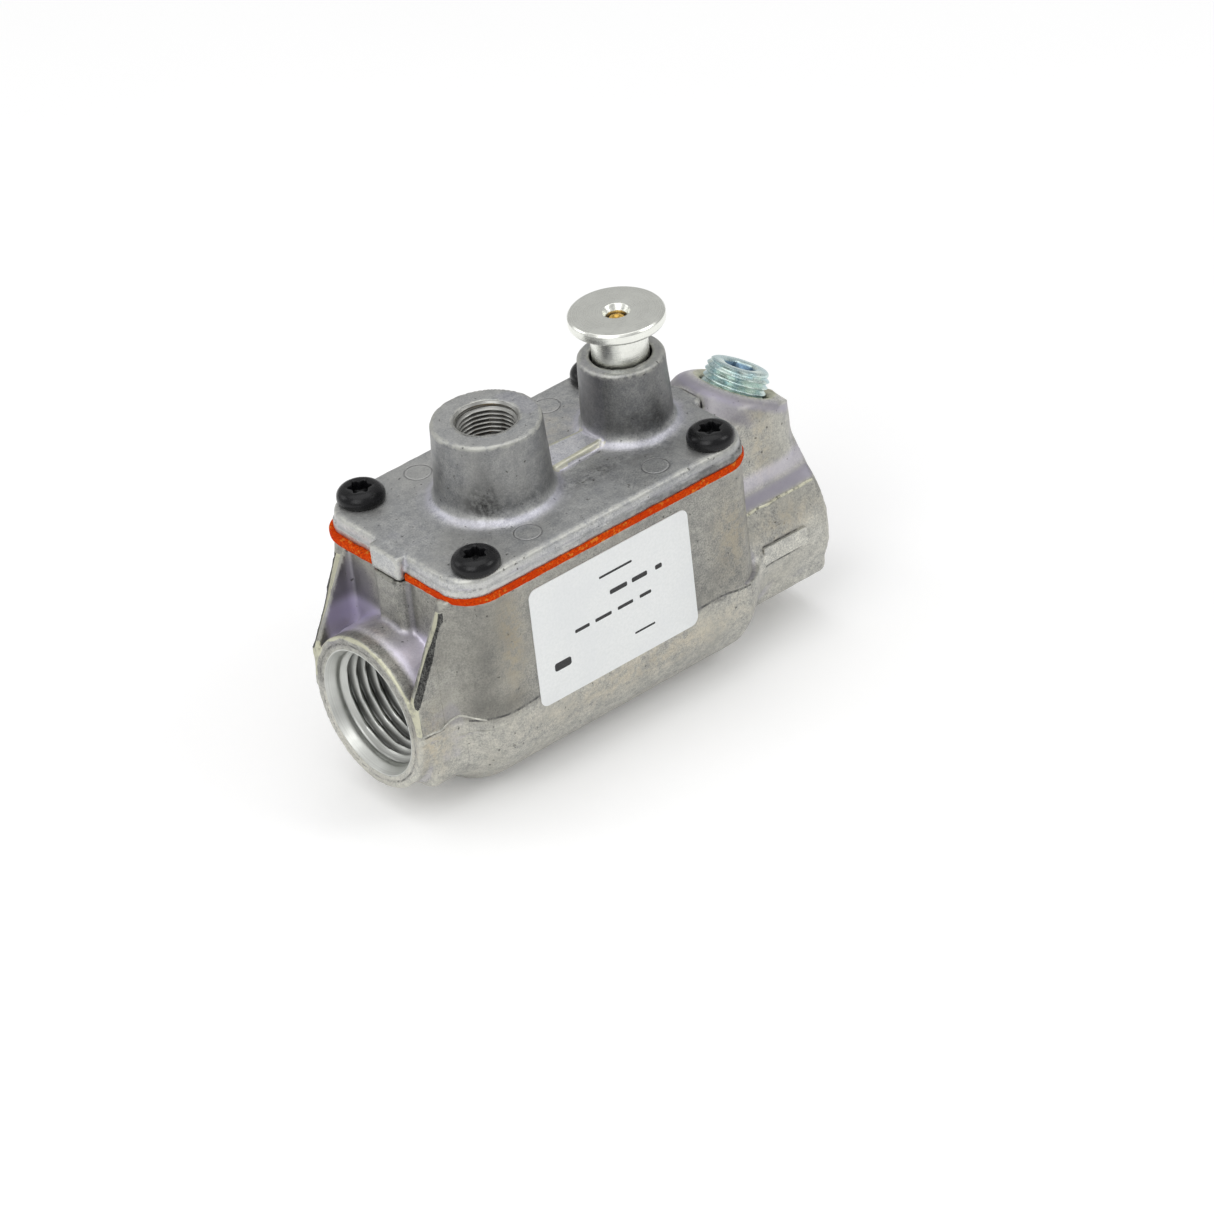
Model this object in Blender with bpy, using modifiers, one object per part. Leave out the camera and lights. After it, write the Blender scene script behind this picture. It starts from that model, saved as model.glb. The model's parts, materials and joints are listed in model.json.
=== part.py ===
"""Gas safety valve: a die-cast body between two threaded pipe ends, closed by a cover that carries a
reset button and a thermocouple port. +X runs from the inlet to the outlet, +Z is up, and the label
is on the -Y wall. The origin is at the centre of the base, under the middle of the pipe's length."""

import math

import bmesh
import bpy
from mathutils import Matrix, Vector

MM = 0.001

# Driving dimensions
PIPE_Z = 17.6 * MM                      # height of the pipe axis above the base
DECK_Z = PIPE_Z + 23.0 * MM             # top face of the body, where the gasket lies
HALF_LENGTH = 43.2 * MM                 # pipe axis, centre to either pipe face
BOX_X = -4.4 * MM                       # centre of the body's box and of the cover along X
GAP = 0.3 * MM                          # clearance between pieces that touch

# Body
BOX_HALF = (30.3 * MM, 18.3 * MM)
BOX_CORNER = 6.0 * MM
BARREL_RADIUS = 18.4 * MM
DOME_RADIUS = 8.7 * MM
BARREL_START = BOX_X - 30.7 * MM
BARREL_END = BOX_X + 26.6 * MM
BARREL_NECK = BOX_X + 34.0 * MM
INLET_BLOCK_RADIUS = 13.55 * MM
INLET_BLOCK_LOWER = (13.0 * MM, 12.0 * MM, 5.0 * MM)    # half width, depth below the pipe axis, corner
OUTLET_BLOCK_RADIUS = 14.2 * MM
OUTLET_BLOCK_LOWER = (12.1 * MM, 10.9 * MM, 2.5 * MM)
COLLAR_RADIUS = 13.35 * MM
COLLAR_LENGTH = 3.0 * MM
GUSSET = (11.9 * MM, 13.55 * MM)
PILLAR_X = 26.8 * MM                    # centre of the end pillars and of the cover's tabs, from BOX_X
PILLAR_RADIUS = 5.0 * MM
PORT_MOUTH_RADIUS = 10.9 * MM
PORT_END_RADIUS = 10.2 * MM
PORT_DEPTH = 14.0 * MM
WATERWAY_RADIUS = 8.0 * MM

# Tilted side port
TILT = math.radians(29.0)
PORT_AXIS = Vector((math.sin(TILT), 0.0, math.cos(TILT)))
PORT_FACE = Vector((BOX_X + 41.75 * MM, 0.0, DECK_Z + 1.03 * MM))
COLUMN_RADIUS = 9.0 * MM
COLUMN_X = BOX_X + 41.0 * MM
RIM_RADIUS = 8.7 * MM                   # of the tilted face around the port
RIM_FLARE = 0.5                         # growth of the rim's radius with depth
PLUG_RADIUS = 5.5 * MM
PLUG_TOP_RADIUS = 4.7 * MM
PLUG_PROUD = 3.4 * MM
PLUG_SUNK = 7.0 * MM

# Chamber, seat and cover
CHAMBER_LONG = (26.6 * MM, 9.9 * MM)
CHAMBER_WIDE = (19.7 * MM, 14.9 * MM)
CHAMBER_FLOOR = DECK_Z - 12.4 * MM
RISER_END = BOX_X - 19.5 * MM
WATERWAY_START = BOX_X - 17.0 * MM
SEAT_RADIUS = 5.0 * MM
SEAT_LIP = 0.8 * MM
SCREW_HALF = (24.4 * MM, 14.65 * MM)
GASKET_HALF = (30.85 * MM, 19.0 * MM)
GASKET_CORNER = 6.4 * MM
GASKET_BOTTOM = DECK_Z + 0.25 * MM
GASKET_TOP = DECK_Z + 1.0 * MM
COVER_HALF = (30.5 * MM, 18.6 * MM)
COVER_BOTTOM = DECK_Z + 1.25 * MM
COVER_TOP = DECK_Z + 4.4 * MM
TAB_BOTTOM = DECK_Z - 0.7 * MM
RIB_HALF_WIDTH = 2.6 * MM                # the low rib that joins the cover's two bosses
RIB_HEIGHT = 1.15 * MM

# Thermocouple boss and magnet, on the axis of the valve seat
MAGNET_X = BOX_X - 8.65 * MM
MAGNET_BOSS_TOP = DECK_Z + 18.2 * MM
MAGNET_FLOOR_TOP = DECK_Z + 10.6 * MM
MAGNET_FLOOR_BOTTOM = DECK_Z + 8.7 * MM
CORE_TIP = DECK_Z + 0.25 * MM
VALVE_LIFT = 3.35 * MM

# Reset button and its guide
BUTTON_X = BOX_X + 19.3 * MM
GUIDE_TOP = DECK_Z + 17.4 * MM
GUIDE_RADIUS = 5.0 * MM
GUIDE_FLOOR = DECK_Z + 3.4 * MM
BUTTON_TOP = DECK_Z + 25.3 * MM
BUTTON_RADIUS = 7.97 * MM
STEM_RADIUS = 4.7 * MM
STEM_BOTTOM = DECK_Z + 12.9 * MM
ROD_RADIUS = 1.45 * MM

# Rocker lever
PIVOT_X = BOX_X + 4.4 * MM
PIVOT_Z = DECK_Z - 6.0 * MM
LEVER_TOP = DECK_Z - 5.4 * MM
LEVER_BOTTOM = DECK_Z - 6.5 * MM

MATERIALS = {
    "cast_aluminium": ((0.50, 0.50, 0.49), 0.42, 0.9),
    "turned_aluminium": ((0.78, 0.79, 0.79), 0.25, 1.0),
    "gasket_fibre": ((0.60, 0.07, 0.01), 0.8, 0.0),
    "black_oxide": ((0.02, 0.02, 0.022), 0.35, 0.6),
    "zinc_plate": ((0.62, 0.70, 0.70), 0.3, 0.9),
    "brass": ((0.72, 0.50, 0.18), 0.3, 1.0),
    "steel": ((0.55, 0.56, 0.57), 0.35, 1.0),
    "copper": ((0.72, 0.34, 0.20), 0.35, 1.0),
    "rubber": ((0.03, 0.03, 0.03), 0.7, 0.0),
    "fibre_board": ((0.35, 0.20, 0.10), 0.8, 0.0),
    "label_paper": ((0.72, 0.74, 0.74), 0.5, 0.0),
}


# Scene and shape helpers

def clear_scene():
    for obj in list(bpy.data.objects):
        bpy.data.objects.remove(obj, do_unlink=True)


def make_collection(name):
    collection = bpy.data.collections.new(name)
    bpy.context.scene.collection.children.link(collection)
    return collection


def make_material(name):
    colour, roughness, metallic = MATERIALS[name]
    material = bpy.data.materials.new(name)
    material.use_nodes = True
    shader = material.node_tree.nodes["Principled BSDF"]
    shader.inputs["Base Color"].default_value = (*colour, 1.0)
    shader.inputs["Roughness"].default_value = roughness
    shader.inputs["Metallic"].default_value = metallic
    return material


def object_from_bmesh(name, bm):
    bmesh.ops.recalc_face_normals(bm, faces=bm.faces)
    mesh = bpy.data.meshes.new(name)
    bm.to_mesh(mesh)
    bm.free()
    obj = bpy.data.objects.new(name, mesh)
    CUTTERS.objects.link(obj)
    return obj


def box(name, low, high):
    """A block between two opposite corners."""
    low, high = Vector(low), Vector(high)
    bm = bmesh.new()
    bmesh.ops.create_cube(bm, size=1.0)
    bmesh.ops.scale(bm, vec=high - low, verts=bm.verts)
    bmesh.ops.translate(bm, vec=(low + high) / 2, verts=bm.verts)
    return object_from_bmesh(name, bm)


def cylinder(name, start, end, radius, end_radius=None, sides=32):
    """A cylinder or cone frustum from start to end."""
    start, end = Vector(start), Vector(end)
    run = end - start
    bm = bmesh.new()
    bmesh.ops.create_cone(
        bm, cap_ends=True, segments=sides, depth=run.length,
        radius1=radius, radius2=radius if end_radius is None else end_radius)
    turn = Vector((0, 0, 1)).rotation_difference(run).to_matrix().to_4x4()
    bmesh.ops.transform(bm, matrix=Matrix.Translation((start + end) / 2) @ turn, verts=bm.verts)
    return object_from_bmesh(name, bm)


def mesh_from_curve(name, curve, matrix):
    """The curve's closed mesh, with its caps welded on."""
    source = bpy.data.objects.new(name + "_outline", curve)
    CUTTERS.objects.link(source)
    graph = bpy.context.evaluated_depsgraph_get()
    mesh = bpy.data.meshes.new_from_object(source.evaluated_get(graph))
    bm = bmesh.new()
    bm.from_mesh(mesh)
    bmesh.ops.remove_doubles(bm, verts=bm.verts, dist=1e-7)
    bmesh.ops.transform(bm, matrix=matrix, verts=bm.verts)
    bpy.data.objects.remove(source, do_unlink=True)
    bpy.data.meshes.remove(mesh)
    return object_from_bmesh(name, bm)


PLANES = {
    "X": Matrix(((0, 0, 1, 0), (1, 0, 0, 0), (0, 1, 0, 0), (0, 0, 0, 1))),    # outline in (y, z)
    "Y": Matrix(((1, 0, 0, 0), (0, 0, -1, 0), (0, 1, 0, 0), (0, 0, 0, 1))),   # outline in (x, z)
    "Z": Matrix.Identity(4),                                                  # outline in (x, y)
}


def prism(name, outline, low, high, axis):
    """A flat outline extruded between low and high along an axis."""
    curve = bpy.data.curves.new(name, "CURVE")
    curve.dimensions = "2D"
    curve.fill_mode = "BOTH"
    curve.extrude = (high - low) / 2
    spline = curve.splines.new("POLY")
    spline.points.add(len(outline) - 1)
    for point, (u, v) in zip(spline.points, outline):
        point.co = (u, v, 0.0, 1.0)
    spline.use_cyclic_u = True
    middle = Vector([(low + high) / 2 if letter == axis else 0.0 for letter in "XYZ"])
    return mesh_from_curve(name, curve, Matrix.Translation(middle) @ PLANES[axis])


def turned(name, profile, place=None, steps=32):
    """A closed (radius, height) profile turned about Z, then placed; its outer side runs downwards."""
    mesh = bpy.data.meshes.new(name)
    edges = [(i, (i + 1) % len(profile)) for i in range(len(profile))]
    if profile[0][0] == 0.0:
        edges.pop()
    mesh.from_pydata([(radius, 0.0, height) for radius, height in profile], edges, [])
    source = bpy.data.objects.new(name + "_profile", mesh)
    CUTTERS.objects.link(source)
    screw = source.modifiers.new("turn", "SCREW")
    screw.steps = steps
    screw.render_steps = steps
    screw.use_merge_vertices = True
    screw.merge_threshold = 1e-6
    graph = bpy.context.evaluated_depsgraph_get()
    solid = bpy.data.meshes.new_from_object(source.evaluated_get(graph))
    bpy.data.objects.remove(source, do_unlink=True)
    bm = bmesh.new()
    bm.from_mesh(solid)
    bpy.data.meshes.remove(solid)
    bmesh.ops.remove_doubles(bm, verts=bm.verts, dist=1e-7)
    bmesh.ops.transform(bm, matrix=place or Matrix.Identity(4), verts=bm.verts)
    return object_from_bmesh(name, bm)


def at(x, z=0.0):
    return Matrix.Translation((x, 0.0, z))


def along_x(x, z):
    """Turns +Z to +X and moves the shape's origin to (x, 0, z)."""
    return Matrix.Translation((x, 0.0, z)) @ Matrix.Rotation(math.pi / 2, 4, "Y")


def arc(centre, radius, start, end, steps):
    """Points along an arc, angles in degrees."""
    angles = [math.radians(start + (end - start) * i / steps) for i in range(steps + 1)]
    return [(centre[0] + radius * math.cos(a), centre[1] + radius * math.sin(a)) for a in angles]


def rounded_rectangle(centre_x, half, corner, steps=5):
    points = []
    for quarter, (sx, sy) in enumerate([(1, 1), (-1, 1), (-1, -1), (1, -1)]):
        centre = (centre_x + sx * (half[0] - corner), sy * (half[1] - corner))
        points += arc(centre, corner, 90 * quarter, 90 * quarter + 90, steps)
    return points


def combine(target, operation, tools):
    """Adds one Boolean modifier for each tool."""
    for tool in tools:
        modifier = target.modifiers.new(tool.name, "BOOLEAN")
        modifier.operation = operation
        modifier.solver = "EXACT"
        modifier.object = tool
        tool.hide_render = True
        tool.display_type = "WIRE"


def finish_part(obj, name, material):
    """Names the part, gives it its material and moves it into the valve's collection."""
    obj.name = name
    obj.data.materials.clear()
    obj.data.materials.append(MATERIAL[material])
    CUTTERS.objects.unlink(obj)
    VALVE.objects.link(obj)
    obj.data.shade_smooth()
    obj.data.set_sharp_from_angle(angle=math.radians(35))
    return obj


def set_origin(obj, place):
    """Moves the object's origin to a point without moving its shape."""
    place = Vector(place)
    obj.data.transform(Matrix.Translation(-place))
    obj.location = place


def screw_places():
    return [(BOX_X + sx * SCREW_HALF[0], sy * SCREW_HALF[1])
            for sx, sy in ((-1, -1), (1, -1), (1, 1), (-1, 1))]


# Body

def pipe_block(name, radius, lower, start, end):
    """A pipe end's block: round above the pipe axis, squarer below it, around the pipe's own wall."""
    half_width, depth, corner = lower
    outline = arc((0.0, PIPE_Z), radius, 0, 180, 16)
    outline += arc((corner - half_width, PIPE_Z - depth + corner), corner, 180, 270, 3)
    outline += arc((half_width - corner, PIPE_Z - depth + corner), corner, 270, 360, 3)
    wall = cylinder(name + "_wall", (start, 0, PIPE_Z), (end, 0, PIPE_Z), radius - 0.2 * MM, sides=40)
    return [prism(name, outline, start, end, "X"), wall]


def barrel():
    """The round lower half of the body, domed towards the inlet and flat underneath."""
    dome = arc((0.0, 0.0), DOME_RADIUS, 0, 90, 5)
    start = BARREL_START + DOME_RADIUS
    profile = [(0.0, BARREL_NECK), (OUTLET_BLOCK_RADIUS * 0.95, BARREL_NECK), (BARREL_RADIUS, BARREL_END)]
    profile += [(BARREL_RADIUS - DOME_RADIUS + u, start - v) for u, v in dome]
    profile += [(0.0, BARREL_START)]
    solid = turned("barrel", profile, along_x(0.0, PIPE_Z), steps=48)
    keep = box("barrel_keep", (-0.05, -0.03, 0.0), (0.05, 0.03, PIPE_Z + 0.4 * MM))
    combine(solid, "INTERSECT", [keep])
    return solid


def side_port_boss():
    """The column at the outlet end, with a flared rim around its face, which is tilted to the outlet."""
    shoulder_z = DECK_Z - 0.5 * MM
    drop = math.tan(TILT)
    under_rim = PORT_FACE.z - 0.15 * MM
    outline = [
        (BOX_X + 27.0 * MM, PIPE_Z), (HALF_LENGTH, PIPE_Z),
        (HALF_LENGTH, under_rim - (HALF_LENGTH - PORT_FACE.x) * drop),
        (PORT_FACE.x + (under_rim - shoulder_z) / drop, shoulder_z), (BOX_X + 27.0 * MM, shoulder_z),
    ]
    solid = prism("side_port_boss", outline, -COLUMN_RADIUS, COLUMN_RADIUS, "Y")
    rim_depth = 9.0 * MM
    rim = cylinder("side_port_rim", PORT_FACE - PORT_AXIS * rim_depth, PORT_FACE,
                   RIM_RADIUS + rim_depth * RIM_FLARE, RIM_RADIUS, sides=40)
    clearances = [
        box("cover_clearance", (BOX_X, -0.03, shoulder_z), (BOX_X + COVER_HALF[0] + 0.7 * MM, 0.03, 0.06)),
        box("beyond_the_face", (HALF_LENGTH, -0.03, 0.0), (HALF_LENGTH + 0.02, 0.03, 0.06)),
    ]
    plan = arc((COLUMN_X, 0.0), COLUMN_RADIUS + 0.01 * MM, -90, 90, 16)
    plan += [(BOX_X + 26.0 * MM, COLUMN_RADIUS + 0.01 * MM), (BOX_X + 26.0 * MM, -COLUMN_RADIUS - 0.01 * MM)]
    column = prism("side_port_plan", plan, 0.0, 0.06, "Z")
    combine(solid, "UNION", [rim])
    combine(solid, "DIFFERENCE", clearances)
    combine(solid, "INTERSECT", [column])
    return solid


def gusset(side):
    """One of the two sloping ribs between the inlet block and the body's end wall."""
    outline = [
        (-HALF_LENGTH + 0.4 * MM, PIPE_Z), (-HALF_LENGTH + 0.4 * MM, DECK_Z - 16.4 * MM),
        (BOX_X - 31.0 * MM, DECK_Z - 1.0 * MM), (BOX_X - 28.0 * MM, DECK_Z - 1.0 * MM),
        (BOX_X - 28.0 * MM, PIPE_Z),
    ]
    low, high = sorted((side * GUSSET[0], side * GUSSET[1]))
    return prism("gusset", outline, low, high, "Y")


def body_solids():
    inlet_end = -HALF_LENGTH
    return [
        barrel(),
        cylinder("inlet_collar", (inlet_end, 0, PIPE_Z), (inlet_end + 8 * MM, 0, PIPE_Z),
                 COLLAR_RADIUS, sides=40),
        *pipe_block("inlet_block", INLET_BLOCK_RADIUS, INLET_BLOCK_LOWER, inlet_end + COLLAR_LENGTH,
                    BOX_X - 26 * MM),
        *pipe_block("outlet_block", OUTLET_BLOCK_RADIUS, OUTLET_BLOCK_LOWER, BOX_X + 24 * MM, HALF_LENGTH),
        side_port_boss(),
        gusset(-1),
        gusset(1),
        cylinder("end_pillar", (BOX_X - PILLAR_X, 0, PIPE_Z + 6 * MM),
                 (BOX_X - PILLAR_X, 0, TAB_BOTTOM - GAP), PILLAR_RADIUS, sides=28),
    ]


def pipe_thread_bore(name, face_x, direction, deep_x):
    """A tapered bore from a pipe face, with a chamfered mouth, and the narrower way behind it."""
    depth = abs(deep_x - face_x)
    profile = [
        (0.0, depth), (WATERWAY_RADIUS, depth), (WATERWAY_RADIUS, PORT_DEPTH + 1 * MM),
        (PORT_END_RADIUS, PORT_DEPTH), (PORT_MOUTH_RADIUS - 0.4 * MM, 1 * MM),
        (PORT_MOUTH_RADIUS + 0.2 * MM, 0.0), (PORT_MOUTH_RADIUS + 0.2 * MM, -1 * MM), (0.0, -1 * MM),
    ]
    place = along_x(face_x, PIPE_Z)
    if direction < 0:
        place = place @ Matrix.Rotation(math.pi, 4, "X")
    return turned(name, profile, place, steps=36)


def body_hollows():
    chamber = [
        box("chamber_long", (BOX_X - CHAMBER_LONG[0], -CHAMBER_LONG[1], CHAMBER_FLOOR),
            (BOX_X + CHAMBER_LONG[0], CHAMBER_LONG[1], DECK_Z + 1 * MM)),
        box("chamber_wide", (BOX_X - CHAMBER_WIDE[0], -CHAMBER_WIDE[1], CHAMBER_FLOOR),
            (BOX_X + CHAMBER_WIDE[0], CHAMBER_WIDE[1], DECK_Z + 1 * MM)),
        box("riser", (BOX_X - CHAMBER_LONG[0] + 0.5 * MM, -7.0 * MM, PIPE_Z),
            (RISER_END, 7.0 * MM, CHAMBER_FLOOR + 1 * MM)),
    ]
    bores = [
        pipe_thread_bore("inlet_bore", -HALF_LENGTH, 1, RISER_END),
        pipe_thread_bore("outlet_bore", HALF_LENGTH, -1, WATERWAY_START),
        cylinder("seat_bore", (MAGNET_X, 0, PIPE_Z), (MAGNET_X, 0, CHAMBER_FLOOR + 3 * MM), SEAT_RADIUS),
        cylinder("side_port", PORT_FACE - PORT_AXIS * (PLUG_SUNK + 1.5 * MM), PORT_FACE + PORT_AXIS * 9 * MM,
                 PLUG_RADIUS + GAP, sides=28),
        cylinder("side_passage", PORT_FACE - PORT_AXIS * 20 * MM, PORT_FACE - PORT_AXIS * 6 * MM,
                 2.0 * MM, sides=16),
        cylinder("tab_notch", (BOX_X + PILLAR_X, 0, TAB_BOTTOM - GAP),
                 (BOX_X + PILLAR_X, 0, DECK_Z + 9 * MM), PILLAR_RADIUS + GAP, sides=28),
    ]
    for number, (x, y) in enumerate(screw_places()):
        bores.append(cylinder(f"body_screw_hole_{number}", (x, y, DECK_Z - 9 * MM), (x, y, DECK_Z + 1 * MM),
                              2.2 * MM, sides=12))
    return chamber, bores


def make_valve_body():
    body = prism("valve_body", rounded_rectangle(BOX_X, BOX_HALF, BOX_CORNER), PIPE_Z, DECK_Z, "Z")
    combine(body, "UNION", body_solids())
    chamber, bores = body_hollows()
    combine(body, "DIFFERENCE", chamber)
    lip = cylinder("seat_lip", (MAGNET_X, 0, CHAMBER_FLOOR - 1 * MM),
                   (MAGNET_X, 0, CHAMBER_FLOOR + SEAT_LIP), SEAT_RADIUS + 1.0 * MM)
    combine(body, "UNION", [lip])
    combine(body, "DIFFERENCE", bores)
    return finish_part(body, "valve_body", "cast_aluminium")


# Cover, gasket and cover screws

def make_cover():
    cover = prism("cover", rounded_rectangle(BOX_X, COVER_HALF, BOX_CORNER), COVER_BOTTOM, COVER_TOP, "Z")
    edge = cover.modifiers.new("rounded_rim", "BEVEL")
    edge.width = 0.7 * MM
    edge.segments = 2
    edge.limit_method = "ANGLE"
    edge.angle_limit = math.radians(50)

    thermocouple_boss = turned("thermocouple_boss", [
        (0.0, MAGNET_BOSS_TOP), (8.5 * MM, MAGNET_BOSS_TOP), (9.0 * MM, MAGNET_BOSS_TOP - 0.5 * MM),
        (9.6 * MM, COVER_TOP + 1.8 * MM), (10.4 * MM, COVER_TOP + 0.5 * MM), (11.6 * MM, COVER_TOP - 0.6 * MM),
        (11.6 * MM, COVER_TOP - 2 * MM), (0.0, COVER_TOP - 2 * MM)], at(MAGNET_X), steps=40)
    guide_boss = turned("guide_boss", [
        (0.0, GUIDE_TOP), (6.6 * MM, GUIDE_TOP), (7.1 * MM, GUIDE_TOP - 0.5 * MM),
        (8.0 * MM, COVER_TOP + 1.8 * MM), (8.7 * MM, COVER_TOP + 0.5 * MM), (9.8 * MM, COVER_TOP - 0.6 * MM),
        (9.8 * MM, COVER_TOP - 2 * MM), (0.0, COVER_TOP - 2 * MM)], at(BUTTON_X), steps=36)
    bridge = box("bridge_rib", (MAGNET_X, -RIB_HALF_WIDTH, COVER_TOP - 1 * MM),
                 (BUTTON_X, RIB_HALF_WIDTH, COVER_TOP + RIB_HEIGHT))
    tabs = [cylinder(f"tab_{side}", (BOX_X + side * PILLAR_X, 0, TAB_BOTTOM),
                     (BOX_X + side * PILLAR_X, 0, COVER_TOP - 0.1 * MM), PILLAR_RADIUS, sides=28)
            for side in (-1, 1)]
    combine(cover, "UNION", [thermocouple_boss, guide_boss, bridge, *tabs])

    inner = BOX_HALF[0] + GAP
    under = [
        box("tab_relief", (BOX_X - inner, -8 * MM, DECK_Z - 3 * MM), (BOX_X + inner, 8 * MM, COVER_BOTTOM)),
        turned("lead_bore", [
            (0.0, MAGNET_BOSS_TOP + 1 * MM), (5.6 * MM, MAGNET_BOSS_TOP + 1 * MM),
            (5.34 * MM, MAGNET_BOSS_TOP - 0.2 * MM), (4.9 * MM, MAGNET_BOSS_TOP - 0.9 * MM),
            (4.9 * MM, MAGNET_FLOOR_TOP), (2.0 * MM, MAGNET_FLOOR_TOP),
            (2.0 * MM, MAGNET_FLOOR_BOTTOM - 0.5 * MM), (0.0, MAGNET_FLOOR_BOTTOM - 0.5 * MM)],
            at(MAGNET_X), steps=32),
        cylinder("magnet_pocket", (MAGNET_X, 0, DECK_Z), (MAGNET_X, 0, MAGNET_FLOOR_BOTTOM),
                 7.7 * MM, sides=36),
        cylinder("guide_bore", (BUTTON_X, 0, GUIDE_FLOOR), (BUTTON_X, 0, GUIDE_TOP + 1 * MM),
                 GUIDE_RADIUS),
        cylinder("rod_hole", (BUTTON_X, 0, DECK_Z), (BUTTON_X, 0, GUIDE_FLOOR + 1 * MM),
                 ROD_RADIUS + 0.4 * MM, sides=20),
    ]
    for number, (x, y) in enumerate(screw_places()):
        under.append(cylinder(f"cover_screw_hole_{number}", (x, y, DECK_Z), (x, y, COVER_TOP + 1 * MM),
                              2.3 * MM, sides=12))
    for side in (-1, 1):
        under.append(cylinder(f"bracket_screw_hole_{side}", (PIVOT_X, side * 2.8 * MM, DECK_Z),
                              (PIVOT_X, side * 2.8 * MM, DECK_Z + 3.2 * MM), 1.3 * MM, sides=12))
    combine(cover, "DIFFERENCE", under)
    return finish_part(cover, "cover", "cast_aluminium")


def make_cover_gasket():
    gasket = prism("cover_gasket", rounded_rectangle(BOX_X, GASKET_HALF, GASKET_CORNER),
                   GASKET_BOTTOM, GASKET_TOP, "Z")
    low, high = DECK_Z - 2 * MM, DECK_Z + 3 * MM
    windows = [
        box("window_long", (BOX_X - CHAMBER_LONG[0], -CHAMBER_LONG[1], low),
            (BOX_X + CHAMBER_LONG[0], CHAMBER_LONG[1], high)),
        box("window_wide", (BOX_X - CHAMBER_WIDE[0], -CHAMBER_WIDE[1], low),
            (BOX_X + CHAMBER_WIDE[0], CHAMBER_WIDE[1], high)),
    ]
    for side in (-1, 1):
        near, far = sorted((BOX_X + side * (BOX_HALF[0] - 0.1 * MM), BOX_X + side * (BOX_HALF[0] + 3 * MM)))
        windows.append(box(f"tab_notch_{side}", (near, -5.2 * MM, low), (far, 5.2 * MM, high)))
    for number, (x, y) in enumerate(screw_places()):
        windows.append(cylinder(f"gasket_hole_{number}", (x, y, low), (x, y, high), 2.3 * MM, sides=12))
    combine(gasket, "DIFFERENCE", windows)
    return finish_part(gasket, "cover_gasket", "gasket_fibre")


def make_cover_screws():
    seat = COVER_TOP + 0.25 * MM
    head = [
        (0.0, COVER_TOP + 2.5 * MM), (2.6 * MM, COVER_TOP + 2.5 * MM), (3.6 * MM, COVER_TOP + 1.9 * MM),
        (4.0 * MM, COVER_TOP + 1.0 * MM), (3.9 * MM, seat), (1.8 * MM, seat), (1.8 * MM, DECK_Z - 7 * MM),
        (0.0, DECK_Z - 7 * MM)]
    for number, (x, y) in enumerate(screw_places(), 1):
        screw = turned(f"cover_screw_{number}", head, Matrix.Translation((x, y, 0.0)), steps=24)
        recess = cylinder(f"recess_{number}", (x, y, COVER_TOP + 1.0 * MM), (x, y, COVER_TOP + 4 * MM),
                          1.8 * MM, sides=6)
        combine(screw, "DIFFERENCE", [recess])
        finish_part(screw, f"cover_screw_{number}", "black_oxide")


# Reset button

def make_reset_button():
    hole = ROD_RADIUS + GAP
    groove = (DECK_Z + 15.8 * MM, DECK_Z + 14.4 * MM)
    profile = [
        (2.35 * MM, BUTTON_TOP), (7.4 * MM, BUTTON_TOP), (BUTTON_RADIUS, BUTTON_TOP - 0.5 * MM),
        (BUTTON_RADIUS, BUTTON_TOP - 1.5 * MM), (7.5 * MM, BUTTON_TOP - 2.0 * MM),
        (STEM_RADIUS, BUTTON_TOP - 2.0 * MM), (STEM_RADIUS, groove[0]), (3.4 * MM, groove[0]),
        (3.4 * MM, groove[1]), (STEM_RADIUS, groove[1]), (STEM_RADIUS, STEM_BOTTOM), (hole, STEM_BOTTOM),
        (hole, BUTTON_TOP - 0.9 * MM)]
    button = turned("reset_button", profile, at(BUTTON_X), steps=36)
    set_origin(button, (BUTTON_X, 0.0, BUTTON_TOP))
    return finish_part(button, "reset_button", "turned_aluminium")


def make_push_rod():
    tip = LEVER_TOP + GAP
    rod = turned("push_rod", [
        (0.0, BUTTON_TOP - 1.2 * MM), (ROD_RADIUS, BUTTON_TOP - 1.2 * MM), (ROD_RADIUS, tip + 1 * MM),
        (0.7 * MM, tip), (0.0, tip)], at(BUTTON_X), steps=20)
    set_origin(rod, (BUTTON_X, 0.0, BUTTON_TOP))
    return finish_part(rod, "push_rod", "brass")


def make_stem_seal_ring():
    section = arc((4.1 * MM, DECK_Z + 15.1 * MM), 0.4 * MM, 90, -270, 8)[:-1]
    ring = turned("stem_seal_ring", section, at(BUTTON_X), steps=28)
    set_origin(ring, (BUTTON_X, 0.0, BUTTON_TOP))
    return finish_part(ring, "stem_seal_ring", "rubber")


def make_retaining_clip():
    """A flat E-shaped clip that grips the rod under the guide's floor."""
    clip = cylinder("retaining_clip", (BUTTON_X, 0, DECK_Z + 0.15 * MM), (BUTTON_X, 0, DECK_Z + 0.95 * MM),
                    4.0 * MM, sides=28)
    low, high = DECK_Z - 2 * MM, DECK_Z + 3 * MM
    cuts = [
        cylinder("clip_bore", (BUTTON_X, 0, low), (BUTTON_X, 0, high), ROD_RADIUS + GAP, sides=20),
        box("clip_mouth", (BUTTON_X - 1.2 * MM, -6 * MM, low), (BUTTON_X + 1.2 * MM, 0.0, high)),
    ]
    combine(clip, "DIFFERENCE", cuts)
    set_origin(clip, (0.0, 0.0, 0.0))
    return finish_part(clip, "retaining_clip", "steel")


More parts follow.
